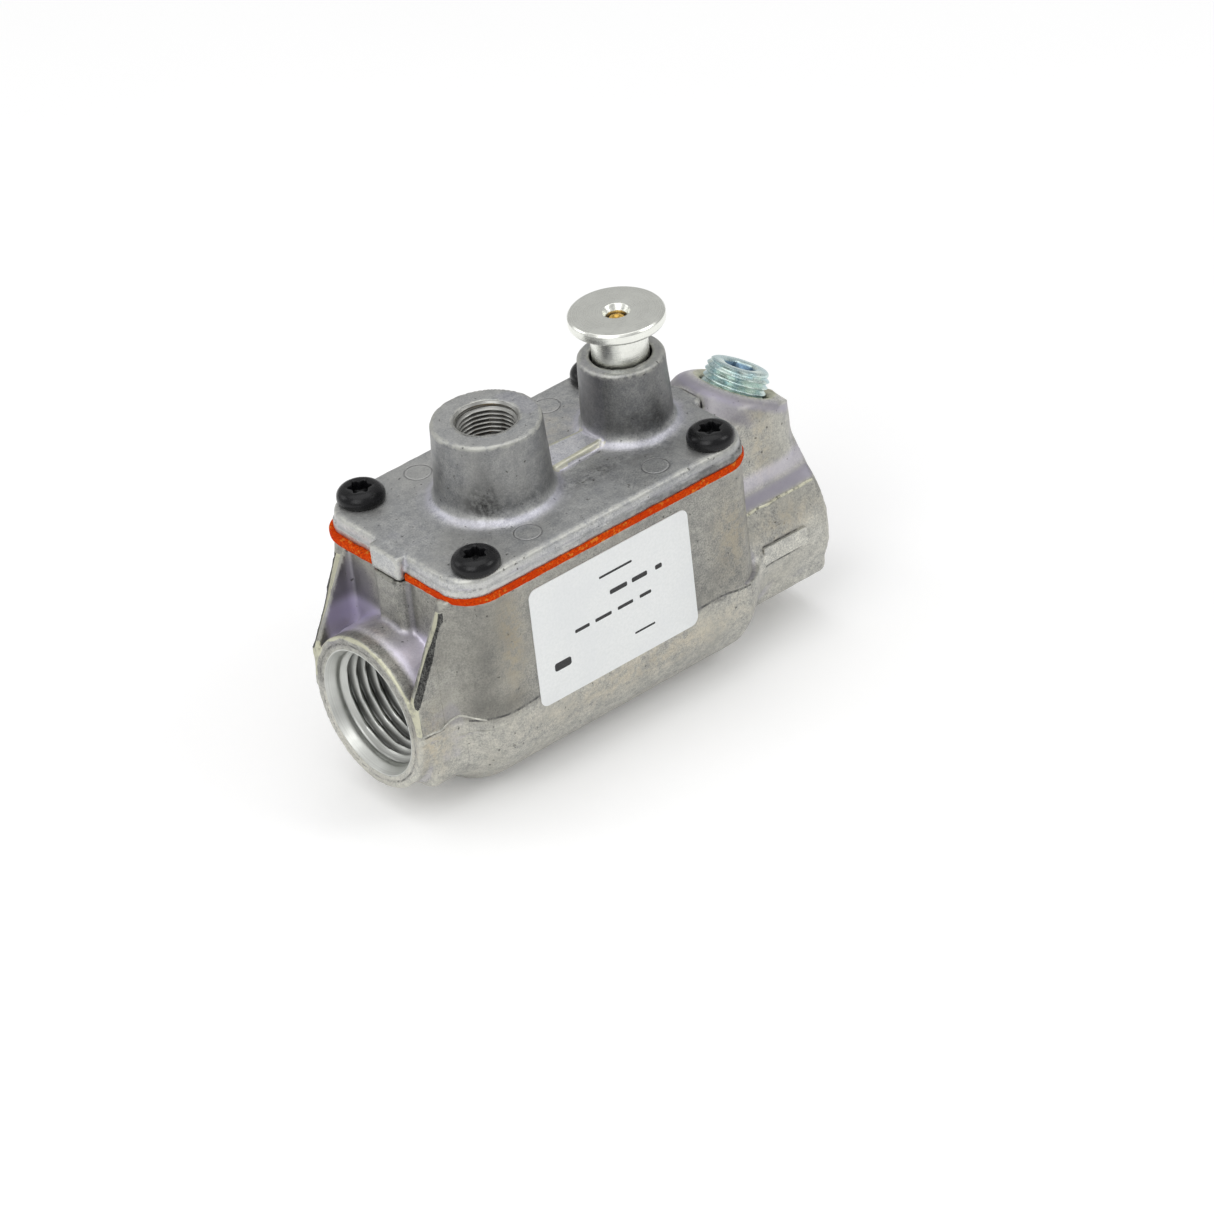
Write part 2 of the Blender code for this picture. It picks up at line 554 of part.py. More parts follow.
def coil_spring(name, centre_x, low, high, radius, wire, turns, material):
    """A round-wire compression spring whose end turns lie flat."""
    steps_per_turn = 14
    total = turns * steps_per_turn
    rise = high - low - wire
    flat = steps_per_turn // 2
    curve = bpy.data.curves.new(name, "CURVE")
    curve.dimensions = "3D"
    curve.bevel_depth = wire / 2
    curve.bevel_resolution = 1
    curve.use_fill_caps = True
    spline = curve.splines.new("POLY")
    spline.points.add(total)
    for step, point in enumerate(spline.points):
        angle = 2 * math.pi * step / steps_per_turn
        climb = min(max((step - flat) / (total - 2 * flat), 0.0), 1.0)
        height = low + wire / 2 + rise * (0.12 * step / total + 0.88 * climb)
        point.co = (centre_x + radius * math.cos(angle), radius * math.sin(angle), height, 1.0)
    spring = mesh_from_curve(name, curve, Matrix.Identity(4))
    return finish_part(spring, name, material)


# Thermocouple terminal and magnet

def make_terminal():
    shank = 1.5 * MM
    contact = turned("terminal_contact", [
        (0.0, DECK_Z + 12.9 * MM), (2.2 * MM, DECK_Z + 12.9 * MM), (2.6 * MM, DECK_Z + 12.5 * MM),
        (2.6 * MM, DECK_Z + 11.9 * MM), (shank, DECK_Z + 11.9 * MM), (shank, DECK_Z + 7.6 * MM),
        (0.0, DECK_Z + 7.6 * MM)], at(MAGNET_X), steps=20)
    finish_part(contact, "terminal_contact", "brass")
    insulator = turned("terminal_insulator", [
        (shank + GAP, DECK_Z + 11.6 * MM), (4.4 * MM, DECK_Z + 11.6 * MM),
        (4.4 * MM, MAGNET_FLOOR_TOP + GAP), (shank + GAP, MAGNET_FLOOR_TOP + GAP)], at(MAGNET_X), steps=24)
    finish_part(insulator, "terminal_insulator", "fibre_board")


def make_magnet():
    base = turned("magnet_base", [
        (1.9 * MM, DECK_Z + 8.4 * MM), (7.3 * MM, DECK_Z + 8.4 * MM), (7.3 * MM, DECK_Z + 7.0 * MM),
        (1.9 * MM, DECK_Z + 7.0 * MM)], at(MAGNET_X), steps=32)
    finish_part(base, "magnet_base", "brass")

    half_width, leg_inner, half_depth = 5.7 * MM, 3.3 * MM, 2.0 * MM
    yoke_bottom, yoke_top = DECK_Z + 4.5 * MM, DECK_Z + 6.7 * MM
    outline = [
        (-half_width, CORE_TIP), (-leg_inner, CORE_TIP), (-leg_inner, yoke_bottom), (leg_inner, yoke_bottom),
        (leg_inner, CORE_TIP), (half_width, CORE_TIP), (half_width, yoke_top), (-half_width, yoke_top)]
    outline = [(MAGNET_X + x, z) for x, z in outline]
    core = prism("magnet_core", outline, -half_depth, half_depth, "Y")
    finish_part(core, "magnet_core", "steel")

    leg_x = (half_width + leg_inner) / 2
    leg_half = (half_width - leg_inner) / 2
    low, high = CORE_TIP + 0.35 * MM, yoke_bottom - GAP
    for number, side in enumerate((-1, 1), 1):
        x = MAGNET_X + side * leg_x
        outer = (leg_half + GAP + 0.8 * MM, half_depth + GAP + 0.8 * MM)
        coil = prism(f"magnet_coil_{number}", rounded_rectangle(x, outer, 0.9 * MM, 3), low, high, "Z")
        hole = box(f"coil_hole_{number}", (x - leg_half - GAP, -half_depth - GAP, low - 1 * MM),
                   (x + leg_half + GAP, half_depth + GAP, high + 1 * MM))
        combine(coil, "DIFFERENCE", [hole])
        finish_part(coil, f"magnet_coil_{number}", "copper")


# Closing part: armature, stem, disc and seal, which lift together

def make_closing_part():
    hole = 1.3 * MM
    top, bottom = CORE_TIP - GAP - VALVE_LIFT, CORE_TIP - GAP - VALVE_LIFT - 1.5 * MM
    armature = box("armature", (MAGNET_X - 5.6 * MM, -2.4 * MM, bottom), (MAGNET_X + 5.6 * MM, 2.4 * MM, top))
    drill = cylinder("armature_hole", (MAGNET_X, 0, bottom - 1 * MM), (MAGNET_X, 0, top + 1 * MM), hole, sides=16)
    combine(armature, "DIFFERENCE", [drill])
    finish_part(armature, "armature", "steel")

    seal_bottom = CHAMBER_FLOOR + SEAT_LIP + GAP
    seal_top = seal_bottom + 1.4 * MM
    disc_bottom = seal_top + GAP
    disc_top = disc_bottom + 1.0 * MM
    seal = turned("valve_seal", [
        (hole, seal_top), (6.4 * MM, seal_top), (6.4 * MM, seal_bottom), (hole, seal_bottom)],
        at(MAGNET_X), steps=28)
    finish_part(seal, "valve_seal", "rubber")
    disc = turned("main_valve_disc", [
        (hole, disc_top), (6.6 * MM, disc_top), (6.8 * MM, disc_top - 0.3 * MM),
        (6.8 * MM, disc_bottom), (hole, disc_bottom)], at(MAGNET_X), steps=28)
    finish_part(disc, "main_valve_disc", "turned_aluminium")
    stem = turned("valve_stem", [
        (0.0, top + GAP), (1.0 * MM, top + GAP), (1.0 * MM, seal_bottom - GAP), (2.2 * MM, seal_bottom - GAP),
        (2.2 * MM, seal_bottom - 1.3 * MM), (0.0, seal_bottom - 1.3 * MM)], at(MAGNET_X), steps=16)
    finish_part(stem, "valve_stem", "steel")
    coil_spring("valve_spring", MAGNET_X, top + GAP, DECK_Z + 4.2 * MM, 1.6 * MM, 0.45 * MM, 6, "steel")


# Rocker lever and its bracket

def make_rocker_lever():
    left, right = MAGNET_X - 1.25 * MM, BUTTON_X + 2.0 * MM
    fork_width, arm_width = 3.4 * MM, 2.4 * MM
    slot_end = MAGNET_X + 3.4 * MM
    plan = [
        (left, -fork_width), (slot_end + 2 * MM, -fork_width), (PIVOT_X - 2.2 * MM, -arm_width),
        (right, -arm_width), (right, arm_width), (PIVOT_X - 2.2 * MM, arm_width),
        (slot_end + 2 * MM, fork_width), (left, fork_width)]
    lever = prism("rocker_lever", plan, LEVER_BOTTOM, LEVER_TOP, "Z")
    hub = cylinder("lever_hub", (PIVOT_X, -4.2 * MM, PIVOT_Z), (PIVOT_X, 4.2 * MM, PIVOT_Z), 2.0 * MM, sides=20)
    pads = [box(f"fork_pad_{side}", (MAGNET_X - 0.7 * MM, *sorted((side * 1.7 * MM, side * 3.2 * MM))[:1],
                                     LEVER_TOP - 0.5 * MM),
                (MAGNET_X + 0.7 * MM, max(side * 1.7 * MM, side * 3.2 * MM), LEVER_TOP + 0.2 * MM))
            for side in (-1, 1)]
    combine(lever, "UNION", [hub, *pads])
    low, high = LEVER_BOTTOM - 2 * MM, LEVER_TOP + 2 * MM
    cuts = [
        box("fork_slot", (left - 2 * MM, -1.5 * MM, low), (slot_end, 1.5 * MM, high)),
        cylinder("lever_eye", (PIVOT_X, -8 * MM, PIVOT_Z), (PIVOT_X, 8 * MM, PIVOT_Z), 1.3 * MM, sides=20),
    ]
    combine(lever, "DIFFERENCE", cuts)
    set_origin(lever, (0.0, 0.0, 0.0))
    return finish_part(lever, "rocker_lever", "steel")


def make_lever_bracket():
    plate_top, plate_bottom = COVER_BOTTOM - GAP, COVER_BOTTOM - 1.2 * MM
    ear = (4.6 * MM, 5.6 * MM)
    bracket = box("lever_bracket", (PIVOT_X - 2.8 * MM, -ear[1], PIVOT_Z - 2.4 * MM),
                  (PIVOT_X + 2.8 * MM, ear[1], plate_top))
    cuts = [
        box("bracket_gap", (PIVOT_X - 6 * MM, -ear[0], PIVOT_Z - 6 * MM),
            (PIVOT_X + 6 * MM, ear[0], plate_bottom)),
        cylinder("bracket_eye", (PIVOT_X, -9 * MM, PIVOT_Z), (PIVOT_X, 9 * MM, PIVOT_Z), 1.3 * MM, sides=20),
    ]
    screws = []
    for number, side in enumerate((-1, 1), 1):
        y = side * 2.8 * MM
        cuts.append(cylinder(f"bracket_hole_{number}", (PIVOT_X, y, plate_bottom - 1 * MM),
                             (PIVOT_X, y, plate_top + 1 * MM), 1.3 * MM, sides=12))
        head_top = plate_bottom - GAP
        screws.append(turned(f"bracket_screw_{number}", [
            (0.0, DECK_Z + 2.8 * MM), (1.0 * MM, DECK_Z + 2.8 * MM), (1.0 * MM, head_top),
            (1.6 * MM, head_top), (1.6 * MM, head_top - 0.8 * MM), (0.0, head_top - 0.8 * MM)],
            Matrix.Translation((PIVOT_X, y, 0.0)), steps=14))
    combine(bracket, "DIFFERENCE", cuts)
    finish_part(bracket, "lever_bracket", "steel")
    for number, screw in enumerate(screws, 1):
        finish_part(screw, f"bracket_screw_{number}", "steel")
    pin = cylinder("lever_pivot_pin", (PIVOT_X, -6.3 * MM, PIVOT_Z), (PIVOT_X, 6.3 * MM, PIVOT_Z),
                   1.0 * MM, sides=20)
    finish_part(pin, "lever_pivot_pin", "steel")


# Side plug and label

def make_side_plug():
    turn = Vector((0, 0, 1)).rotation_difference(PORT_AXIS).to_matrix().to_4x4()
    place = Matrix.Translation(PORT_FACE) @ turn
    plug = turned("side_plug", [
        (0.0, PLUG_PROUD), (PLUG_TOP_RADIUS, PLUG_PROUD), (PLUG_RADIUS, PLUG_PROUD - 1.3 * MM),
        (PLUG_RADIUS, 0.8 * MM - PLUG_SUNK), (PLUG_RADIUS - 0.8 * MM, -PLUG_SUNK), (0.0, -PLUG_SUNK)],
        place, steps=28)
    socket = cylinder("hexagon_socket", PORT_FACE + PORT_AXIS * (PLUG_PROUD - 3.5 * MM),
                      PORT_FACE + PORT_AXIS * 9 * MM, 2.75 * MM, sides=6)
    combine(plug, "DIFFERENCE", [socket])
    return finish_part(plug, "side_plug", "zinc_plate")


def make_rating_label():
    half = (16.5 * MM, 11.1 * MM)
    middle = (BOX_X - 1.4 * MM, DECK_Z - 13.4 * MM)
    outline = [(x, y + middle[1]) for x, y in rounded_rectangle(middle[0], half, 1.5 * MM, 3)]
    label = prism("rating_label", outline, -BOX_HALF[1] - 0.55 * MM, -BOX_HALF[1] - 0.35 * MM, "Y")
    return finish_part(label, "rating_label", "label_paper")


clear_scene()
VALVE = make_collection("gas_valve")
CUTTERS = make_collection("cutters")
MATERIAL = {name: make_material(name) for name in MATERIALS}

make_valve_body()
make_cover()
make_cover_gasket()
make_cover_screws()
make_reset_button()
make_push_rod()
make_stem_seal_ring()
make_retaining_clip()
coil_spring("button_return_spring", BUTTON_X, GUIDE_FLOOR + GAP, STEM_BOTTOM - GAP, 3.5 * MM, 0.7 * MM, 5,
            "steel")
make_terminal()
make_magnet()
make_closing_part()
make_rocker_lever()
make_lever_bracket()
make_side_plug()
make_rating_label()
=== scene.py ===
"""Looks of a gas safety valve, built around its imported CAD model.

Lengths are millimetres in the model's frame, apart from the lights': +X runs from the inlet to the outlet,
+Z is up, and the label is on the -Y wall. Meshes are scaled to metres as they are made. The castings are
distance functions, turned into meshes by dual contouring, so that every fillet is part of the shape."""

import json
import math

import bpy
import numpy as np
from mathutils import Matrix, Vector


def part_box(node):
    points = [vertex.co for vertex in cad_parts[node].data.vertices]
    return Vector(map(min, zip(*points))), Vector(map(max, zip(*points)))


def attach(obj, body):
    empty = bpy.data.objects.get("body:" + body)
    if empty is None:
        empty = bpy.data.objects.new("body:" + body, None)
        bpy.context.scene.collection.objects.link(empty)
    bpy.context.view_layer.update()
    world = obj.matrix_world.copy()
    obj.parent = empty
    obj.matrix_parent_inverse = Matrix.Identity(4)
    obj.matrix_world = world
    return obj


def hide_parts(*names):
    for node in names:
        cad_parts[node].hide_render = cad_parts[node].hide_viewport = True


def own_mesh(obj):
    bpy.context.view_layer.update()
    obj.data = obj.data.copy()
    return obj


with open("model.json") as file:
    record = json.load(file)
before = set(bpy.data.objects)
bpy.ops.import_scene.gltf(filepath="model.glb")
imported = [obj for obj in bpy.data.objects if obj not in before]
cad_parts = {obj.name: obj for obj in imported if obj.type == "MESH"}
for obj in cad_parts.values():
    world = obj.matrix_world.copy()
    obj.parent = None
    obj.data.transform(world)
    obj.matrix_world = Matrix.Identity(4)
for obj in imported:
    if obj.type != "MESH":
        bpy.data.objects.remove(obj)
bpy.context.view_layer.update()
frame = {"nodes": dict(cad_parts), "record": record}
MM = 0.001


# Places taken from the frame

def box_mm(node):
    low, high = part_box(node)
    return np.array(low) / MM, np.array(high) / MM


def centre_mm(node):
    low, high = box_mm(node)
    return (low + high) / 2


def mount(name):
    found = next(m for m in frame["record"]["mounts"] if m["name"] == name)
    return np.array(found["pos_m"]) / MM, np.array(found["axis"], float)


BODY_LOW, BODY_HIGH = box_mm("valve_body")
COVER_LOW, COVER_HIGH = box_mm("cover")
GASKET_LOW, GASKET_HIGH = box_mm("cover_gasket")
GAP = 0.25                                   # what the CAD leaves between the gasket and its neighbours
HALF_LENGTH = BODY_HIGH[0]
BOX_X = (COVER_LOW[0] + COVER_HIGH[0]) / 2
DECK_Z = GASKET_LOW[2] - GAP
PIPE_Z = DECK_Z - 23.0
BOX_HALF = (GASKET_HIGH[0] - BOX_X - 0.55, GASKET_HIGH[1] - 0.7)
COVER_BOTTOM = DECK_Z + 1.25
COVER_TOP = DECK_Z + 4.4
MAGNET_X = centre_mm("terminal_contact")[0]
MAGNET_BOSS_TOP = COVER_HIGH[2]
MAGNET_BOSS_FOOT = 9.75
BUTTON_X = centre_mm("reset_button")[0]
BUTTON_TOP = box_mm("reset_button")[1][2]
GUIDE_TOP = DECK_Z + 17.4
GUIDE_FOOT = 7.65                            # both feet are radii
PORT_FACE, PORT_AXIS = mount("side_port_face")
PORT_FACE = PORT_FACE * (1, 0, 1)
COLUMN_X = BOX_X + 41.0
COLUMN_RADIUS = 9.0
PILLAR_X = 26.8
PILLAR_HALF = (5.1, 3.7)
TAB_BOTTOM = DECK_Z + 0.15
PILLAR_TOP = TAB_BOTTOM - 0.45
RIB_TOP = COVER_TOP + 1.15
RIB_MIDDLE = (MAGNET_X + BUTTON_X) / 2
RIM_RADIUS = 8.7
RIM_FLARE = 0.5
INLET_RADIUS = 13.55                         # of the pipe ends' outside
OUTLET_RADIUS = 14.15
BORE_RADIUS = 11.1
CHAMBER_FLOOR = DECK_Z - 12.4
CHAMBER_HALF = (26.6, 14.9)
CHAMBER_INSET = (6.9, 5.0)                   # how far its four corners come in
EJECTOR_MARKS = [(-13.3, 14.0), (-12.8, -13.3), (13.6, 13.9), (13.4, -13.7)]    # from the box's centre
EJECTOR_RADIUS = 2.25
LEDGE = 0.65
PAD_MIDDLE = (37.8, 0.5)          # from the box's centre and above the pipe axis
PAD_HALF = (4.7, 1.55)
BARREL_RADIUS = 18.58
BARREL_END_RADIUS = 12.5
GUSSET_RUN, GUSSET_RISE = 7.8, 15.5          # the slope of the inlet end's ribs
COLLAR_RADIUS = 13.35
FOOT_FILLET = 2.3                            # round the feet of the cover's bosses
PIPE_PITCH, FINE_PITCH, PLUG_PITCH = 1.814, 0.794, 1.06
FAR_FROM_LINES = {"seam": 3.0, "bevel": -2.0, "crest": -2.0, "mark": 1.0}    # distances that draw no line


# Distance functions: negative inside, in millimetres

def disc(u, v, radius):
    return np.hypot(u, v) - radius


def slab(u, low, high):
    return np.maximum(low - u, u - high)


def block(u, y, z, across, along, up):
    """A box from its low and high limit in each direction."""
    return np.maximum(np.maximum(slab(u, *across), slab(y, *along)), slab(z, *up))


def rounded_rectangle(u, v, half_u, half_v, corner):
    du = np.abs(u) - half_u + corner
    dv = np.abs(v) - half_v + corner
    return np.hypot(np.maximum(du, 0), np.maximum(dv, 0)) + np.minimum(np.maximum(du, dv), 0) - corner


def join(a, b, radius):
    """The union of two shapes with a fillet between them."""
    inner = np.hypot(np.maximum(radius - a, 0), np.maximum(radius - b, 0))
    return np.maximum(radius, np.minimum(a, b)) - inner


def meet(a, b, radius):
    """The intersection of two shapes with a rounded edge."""
    outer = np.hypot(np.maximum(radius + a, 0), np.maximum(radius + b, 0))
    return np.minimum(-radius, np.maximum(a, b)) + outer


def cut(a, b, radius):
    return meet(a, -b, radius)


def rise(value, low, high):
    """Smoothly from 0 to 1 as a value goes from low to high."""
    t = np.clip((value - low) / (high - low), 0, 1)
    return t * t * (3 - 2 * t)


def fall(value, low, high):
    return 1 - rise(value, low, high)


def band(value, low, high, soft):
    return rise(value, low - soft, low + soft) * fall(value, high - soft, high + soft)


def ripple(x, y, z, length, seed):
    """Smooth, repeatable unevenness of about -1 to 1, with waves of about that length."""
    rng = np.random.default_rng(seed)
    total = 0.0
    for _ in range(5):
        way = rng.normal(size=3)
        way *= 2 * math.pi / (length * rng.uniform(0.7, 1.4) * np.linalg.norm(way))
        total = total + np.sin(way[0] * x + way[1] * y + way[2] * z + rng.uniform(0, 2 * math.pi))
    return total / 3


def pipe_block(y, above_axis, radius, half_width, depth, corner):
    """Outline of a pipe end: the round pipe wall, squared off below the pipe axis."""
    lower = np.maximum(rounded_rectangle(y, above_axis, half_width, depth, corner), above_axis)
    return join(disc(y, above_axis, radius), lower, 0.6)


def ledge_height(x, y):
    """How far above the pipe axis the barrel's upper edge runs along the box."""
    return LEDGE + 0.16 * ripple(x, y, 0.0, 5.0, 3)


def barrel(u, y, above_axis, x, z):
    """The round lower half: domed towards the inlet, drawn in to the outlet block, flat underneath."""
    radius = BARREL_RADIUS - (BARREL_RADIUS - BARREL_END_RADIUS) * rise(u, 26.0, 36.0)
    shape = meet((np.hypot(y, above_axis) - radius) * 0.93, -30.7 - u, 8.7)
    shape = np.maximum(shape, u - 37.0)
    shape = meet(shape, above_axis - ledge_height(x, y), 0.12)
    return meet(shape, -z, 0.8)


def gusset_planes(u, y, h):
    """Distances to the sloping top of the inlet end's ribs and to the bevel along its outer edge."""
    slope = (-(u + 31.0) * GUSSET_RISE + h * GUSSET_RUN) / math.hypot(GUSSET_RISE, GUSSET_RUN) + 0.3
    leg = 0.62 - 0.50 * rise(h, -11.0, -2.5)
    return slope, (slope + np.abs(y) - INLET_RADIUS + leg) / math.sqrt(2)


def gussets(u, y, h):
    """The two sloping ribs of the inlet end."""
    slope, bevel = gusset_planes(u, y, h)
    across = slab(np.abs(y), 11.9, INLET_RADIUS)
    length = slab(u, BODY_LOW[0] - BOX_X + 0.3, -27.5)
    rib = meet(np.maximum(slope, across), length, 0.3)
    rib = np.maximum(rib, slab(h, -23.0, -0.4))
    return np.maximum(rib, bevel)


def side_port_column(x, u, y, z, h):
    """The boss of the side port: a column that leans on the box, with a flared rim and a tilted face."""
    along = np.clip(u, 26.0, COLUMN_X - BOX_X)
    plan = np.hypot(u - along, y) - COLUMN_RADIUS
    out, off = port_coordinates(x, y, z)
    low = np.maximum(meet(plan, h + 0.6, 0.3), out)
    rim = (off - RIM_RADIUS + RIM_FLARE * out) / math.hypot(1, RIM_FLARE)
    high = meet(meet(rim, out, 2.1), plan, 1.2)
    high = np.maximum(high, 31.05 - u)
    column = np.maximum(join(low, high, 1.0), PIPE_Z - z)
    return meet(column, x - HALF_LENGTH, 0.5)


def port_coordinates(x, y, z):
    """Distance out of the side port's face, and distance from the port's axis."""
    dx, dz = x - PORT_FACE[0], z - PORT_FACE[2]
    out = dx * PORT_AXIS[0] + dz * PORT_AXIS[2]
    return out, np.sqrt(np.maximum(dx ** 2 + y ** 2 + dz ** 2 - out ** 2, 0))


def body_solid(x, y, z):
    u, h, above_axis = x - BOX_X, z - DECK_Z, z - PIPE_Z
    box = meet(rounded_rectangle(u, y, *BOX_HALF, 6.0), slab(z, PIPE_Z - 1.2, DECK_Z), 0.15)
    pillar = rounded_rectangle(u + PILLAR_X, y, *PILLAR_HALF, 1.6)
    pillar = meet(pillar, slab(z, DECK_Z - 17.0, PILLAR_TOP), 0.2)
    box = join(box, pillar, 0.5)

    inlet_half_width, inlet_depth, outlet_half_width, outlet_depth = 13.0, 12.0, 12.1, 10.9
    inlet = pipe_block(y, above_axis, INLET_RADIUS, inlet_half_width, inlet_depth, 5.0)
    inlet = meet(inlet, slab(x, BODY_LOW[0] + 2.8, BOX_X - 24.0), 1.3)
    collar = meet(disc(y, above_axis, COLLAR_RADIUS), slab(x, BODY_LOW[0], BODY_LOW[0] + 8), 0.45)
    inlet = join(inlet, collar, 0.8)

    outlet = pipe_block(y, above_axis, OUTLET_RADIUS, outlet_half_width, outlet_depth, 2.5)
    outlet = meet(outlet, slab(x, BOX_X + 22.0, HALF_LENGTH), 0.6)
    outlet = join(outlet, side_port_column(x, u, y, z, h), 3.6)

    crease = 0.8 + 1.8 * rise(np.abs(y), 11.0, 13.2)
    upper = join(box, join(inlet, gussets(u, y, h), 0.8), crease)
    upper = join(upper, outlet, 0.9)
    lower = join(barrel(u, y, above_axis, x, z), inlet, 2.4)
    lower = join(lower, outlet, 1.6)
    return np.minimum(upper, lower)


def body_hollow(x, y, z):
    u, h, above_axis = x - BOX_X, z - DECK_Z, z - PIPE_Z
    beyond_u, beyond_y = np.abs(u) - CHAMBER_HALF[0], np.abs(y) - CHAMBER_HALF[1]
    chamber = np.minimum(np.maximum(beyond_u, beyond_y + CHAMBER_INSET[1]),
                         np.maximum(beyond_u + CHAMBER_INSET[0], beyond_y))
    chamber = np.maximum(chamber, CHAMBER_FLOOR - z)
    riser = block(u, y, z, (-26.1, -19.5), (-7.0, 7.0), (PIPE_Z, CHAMBER_FLOOR + 1))
    port = disc(y, above_axis, BORE_RADIUS)
    mouths = np.maximum(port, 29.0 - np.abs(x))
    passage_radius, seat_radius, lip_radius, lip_height = 8.0, 5.0, 6.0, 0.8
    ways = np.maximum(disc(y, above_axis, passage_radius), np.minimum(u + 19.5, -17.0 - u))
    seat = np.maximum(disc(x - MAGNET_X, y, seat_radius), slab(z, PIPE_Z, CHAMBER_FLOOR + 3))
    raised_lip = np.maximum(disc(x - MAGNET_X, y, lip_radius), z - CHAMBER_FLOOR - lip_height)
    chamber = np.maximum(chamber, -raised_lip)
    hollow = np.minimum.reduce([chamber, np.minimum(riser, seat), np.minimum(mouths, ways)])

    out, off = port_coordinates(x, y, z)
    plug_bore = np.maximum(off - 5.85 - 0.9 * rise(out, -0.9, 0.2), -8.5 - out)
    passage = np.maximum(off - 2.0, slab(out, -20.0, -6.0))
    notch = rounded_rectangle(np.abs(u) - PILLAR_X, y, PILLAR_HALF[0] + 0.3, PILLAR_HALF[1] + 0.3, 1.2)
    notch = np.maximum(notch, np.where(u > 0, -1.0, -0.2) - h)
    return np.minimum.reduce([hollow, np.minimum(plug_bore, passage), notch])


def body_distance(x, y, z):
    return cut(body_solid(x, y, z), body_hollow(x, y, z), 0.2)


def boss(x, y, z, centre_x, top, top_radius, foot_radius, edge):
    """A drafted round boss on the cover."""
    lean = (foot_radius - top_radius) / (top - COVER_TOP)
    side = (disc(x - centre_x, y, top_radius) - (top - z) * lean) / math.hypot(1, lean)
    return meet(meet(side, z - top, edge), COVER_TOP - 2 - z, 0.1)


def beside_rib(x, y):
    """Distance from the side of the rib between the bosses, which narrows towards the button."""
    return np.abs(y) - 2.85 + 0.06 * (x - RIB_MIDDLE)


def cover_solid(x, y, z):
    u = x - BOX_X
    half = (BOX_HALF[0] + 0.2, BOX_HALF[1] + 0.3)
    lower = rounded_rectangle(u, y, *half, 6.0) + 0.06 * ripple(x, y, 0, 2.3, 21)
    lower = meet(lower, slab(z, COVER_BOTTOM, COVER_BOTTOM + 1.35), 0.15)
    upper = meet(rounded_rectangle(u, y, half[0] - 0.25, half[1] - 0.25, 5.9), z - COVER_TOP, 0.85)
    upper = np.maximum(upper, COVER_BOTTOM - z)
    plate = join(upper, lower, 0.15)
    tabs = rounded_rectangle(np.abs(u) - PILLAR_X, y, *PILLAR_HALF, 0.9)
    tabs = meet(tabs, slab(z, TAB_BOTTOM, COVER_TOP - 0.15), 0.35)
    plate = join(plate, tabs, 0.15)

    thermocouple = boss(x, y, z, MAGNET_X, MAGNET_BOSS_TOP, 9.0, MAGNET_BOSS_FOOT, 0.5)
    guide = boss(x, y, z, BUTTON_X, GUIDE_TOP, 7.15, GUIDE_FOOT, 0.8)
    reach = (BUTTON_X - MAGNET_X) / 2
    side = (beside_rib(x, y) + 0.35 * (z - RIB_TOP)) / math.hypot(1, 0.35)
    rib = meet(side, z - RIB_TOP, 0.22)
    rib = np.maximum(rib, np.maximum(np.abs(x - RIB_MIDDLE) - reach, COVER_TOP - 2 - z))
    solid = join(plate, np.minimum(thermocouple, guide), FOOT_FILLET)
    return join(solid, rib, 0.4)


def cover_hollow(x, y, z):
    h = z - DECK_Z
    bore_radius, contact_radius, pocket_radius = 5.3, 2.0, 7.7
    guide_radius, rod_radius = 5.15, 1.85
    bore = np.maximum(disc(x - MAGNET_X, y, bore_radius), slab(z, DECK_Z + 10.6, MAGNET_BOSS_TOP + 2))
    contact_hole = np.maximum(disc(x - MAGNET_X, y, contact_radius), slab(h, 8.0, 11.0))
    pocket = np.maximum(disc(x - MAGNET_X, y, pocket_radius), h - 8.7)
    guide = np.maximum(disc(x - BUTTON_X, y, guide_radius), 3.4 - h)
    rod_hole = disc(x - BUTTON_X, y, rod_radius)
    relief = np.maximum(np.maximum(np.abs(x - BOX_X) - BOX_HALF[0] - 0.3, np.abs(y) - 8.0), z - COVER_BOTTOM)
    return np.minimum.reduce([bore, np.minimum(contact_hole, pocket), np.minimum(guide, rod_hole), relief])


def cover_distance(x, y, z):
    return cut(cover_solid(x, y, z), cover_hollow(x, y, z), 0.25)


# Meshing a distance function

def slope_of(distance, points, step):
    """The gradient of a distance function at each point, by central differences."""
    slope = np.empty_like(points)
    for axis in range(3):
        offset = np.zeros(3)
        offset[axis] = step
        ahead, behind = points + offset, points - offset
        slope[:, axis] = distance(*ahead.T) - distance(*behind.T)
    return slope / (2 * step)


def unit(vectors):
    return vectors / np.maximum(np.linalg.norm(vectors, axis=1, keepdims=True), 1e-12)


def surface_crossings(distance, values, axes, axis):
    """Where grid edges along one axis cross the surface: lower grid index, point and whether it leaves."""
    inside = values < 0
    lower = [slice(None)] * 3
    upper = [slice(None)] * 3
    lower[axis], upper[axis] = slice(0, -1), slice(1, None)
    change = inside[tuple(lower)] != inside[tuple(upper)]
    index = np.argwhere(change)
    ahead = index.copy()
    ahead[:, axis] += 1
    start = np.stack([axes[k][index[:, k]] for k in range(3)], axis=1)
    end = np.stack([axes[k][ahead[:, k]] for k in range(3)], axis=1)
    at_start, at_end = values[tuple(index.T)], values[tuple(ahead.T)]
    leaves = at_start < 0
    for _ in range(3):
        share = np.clip(at_start / (at_start - at_end + 1e-12), 0.02, 0.98)[:, None]
        middle = start + (end - start) * share
        at_middle = distance(*middle.T)
        same = (at_middle < 0) == (at_start < 0)
        start = np.where(same[:, None], middle, start)
        at_start = np.where(same, at_middle, at_start)
        end = np.where(same[:, None], end, middle)
        at_end = np.where(same, at_end, at_middle)
    share = np.clip(at_start / (at_start - at_end + 1e-12), 0, 1)[:, None]
    return index, start + (end - start) * share, leaves


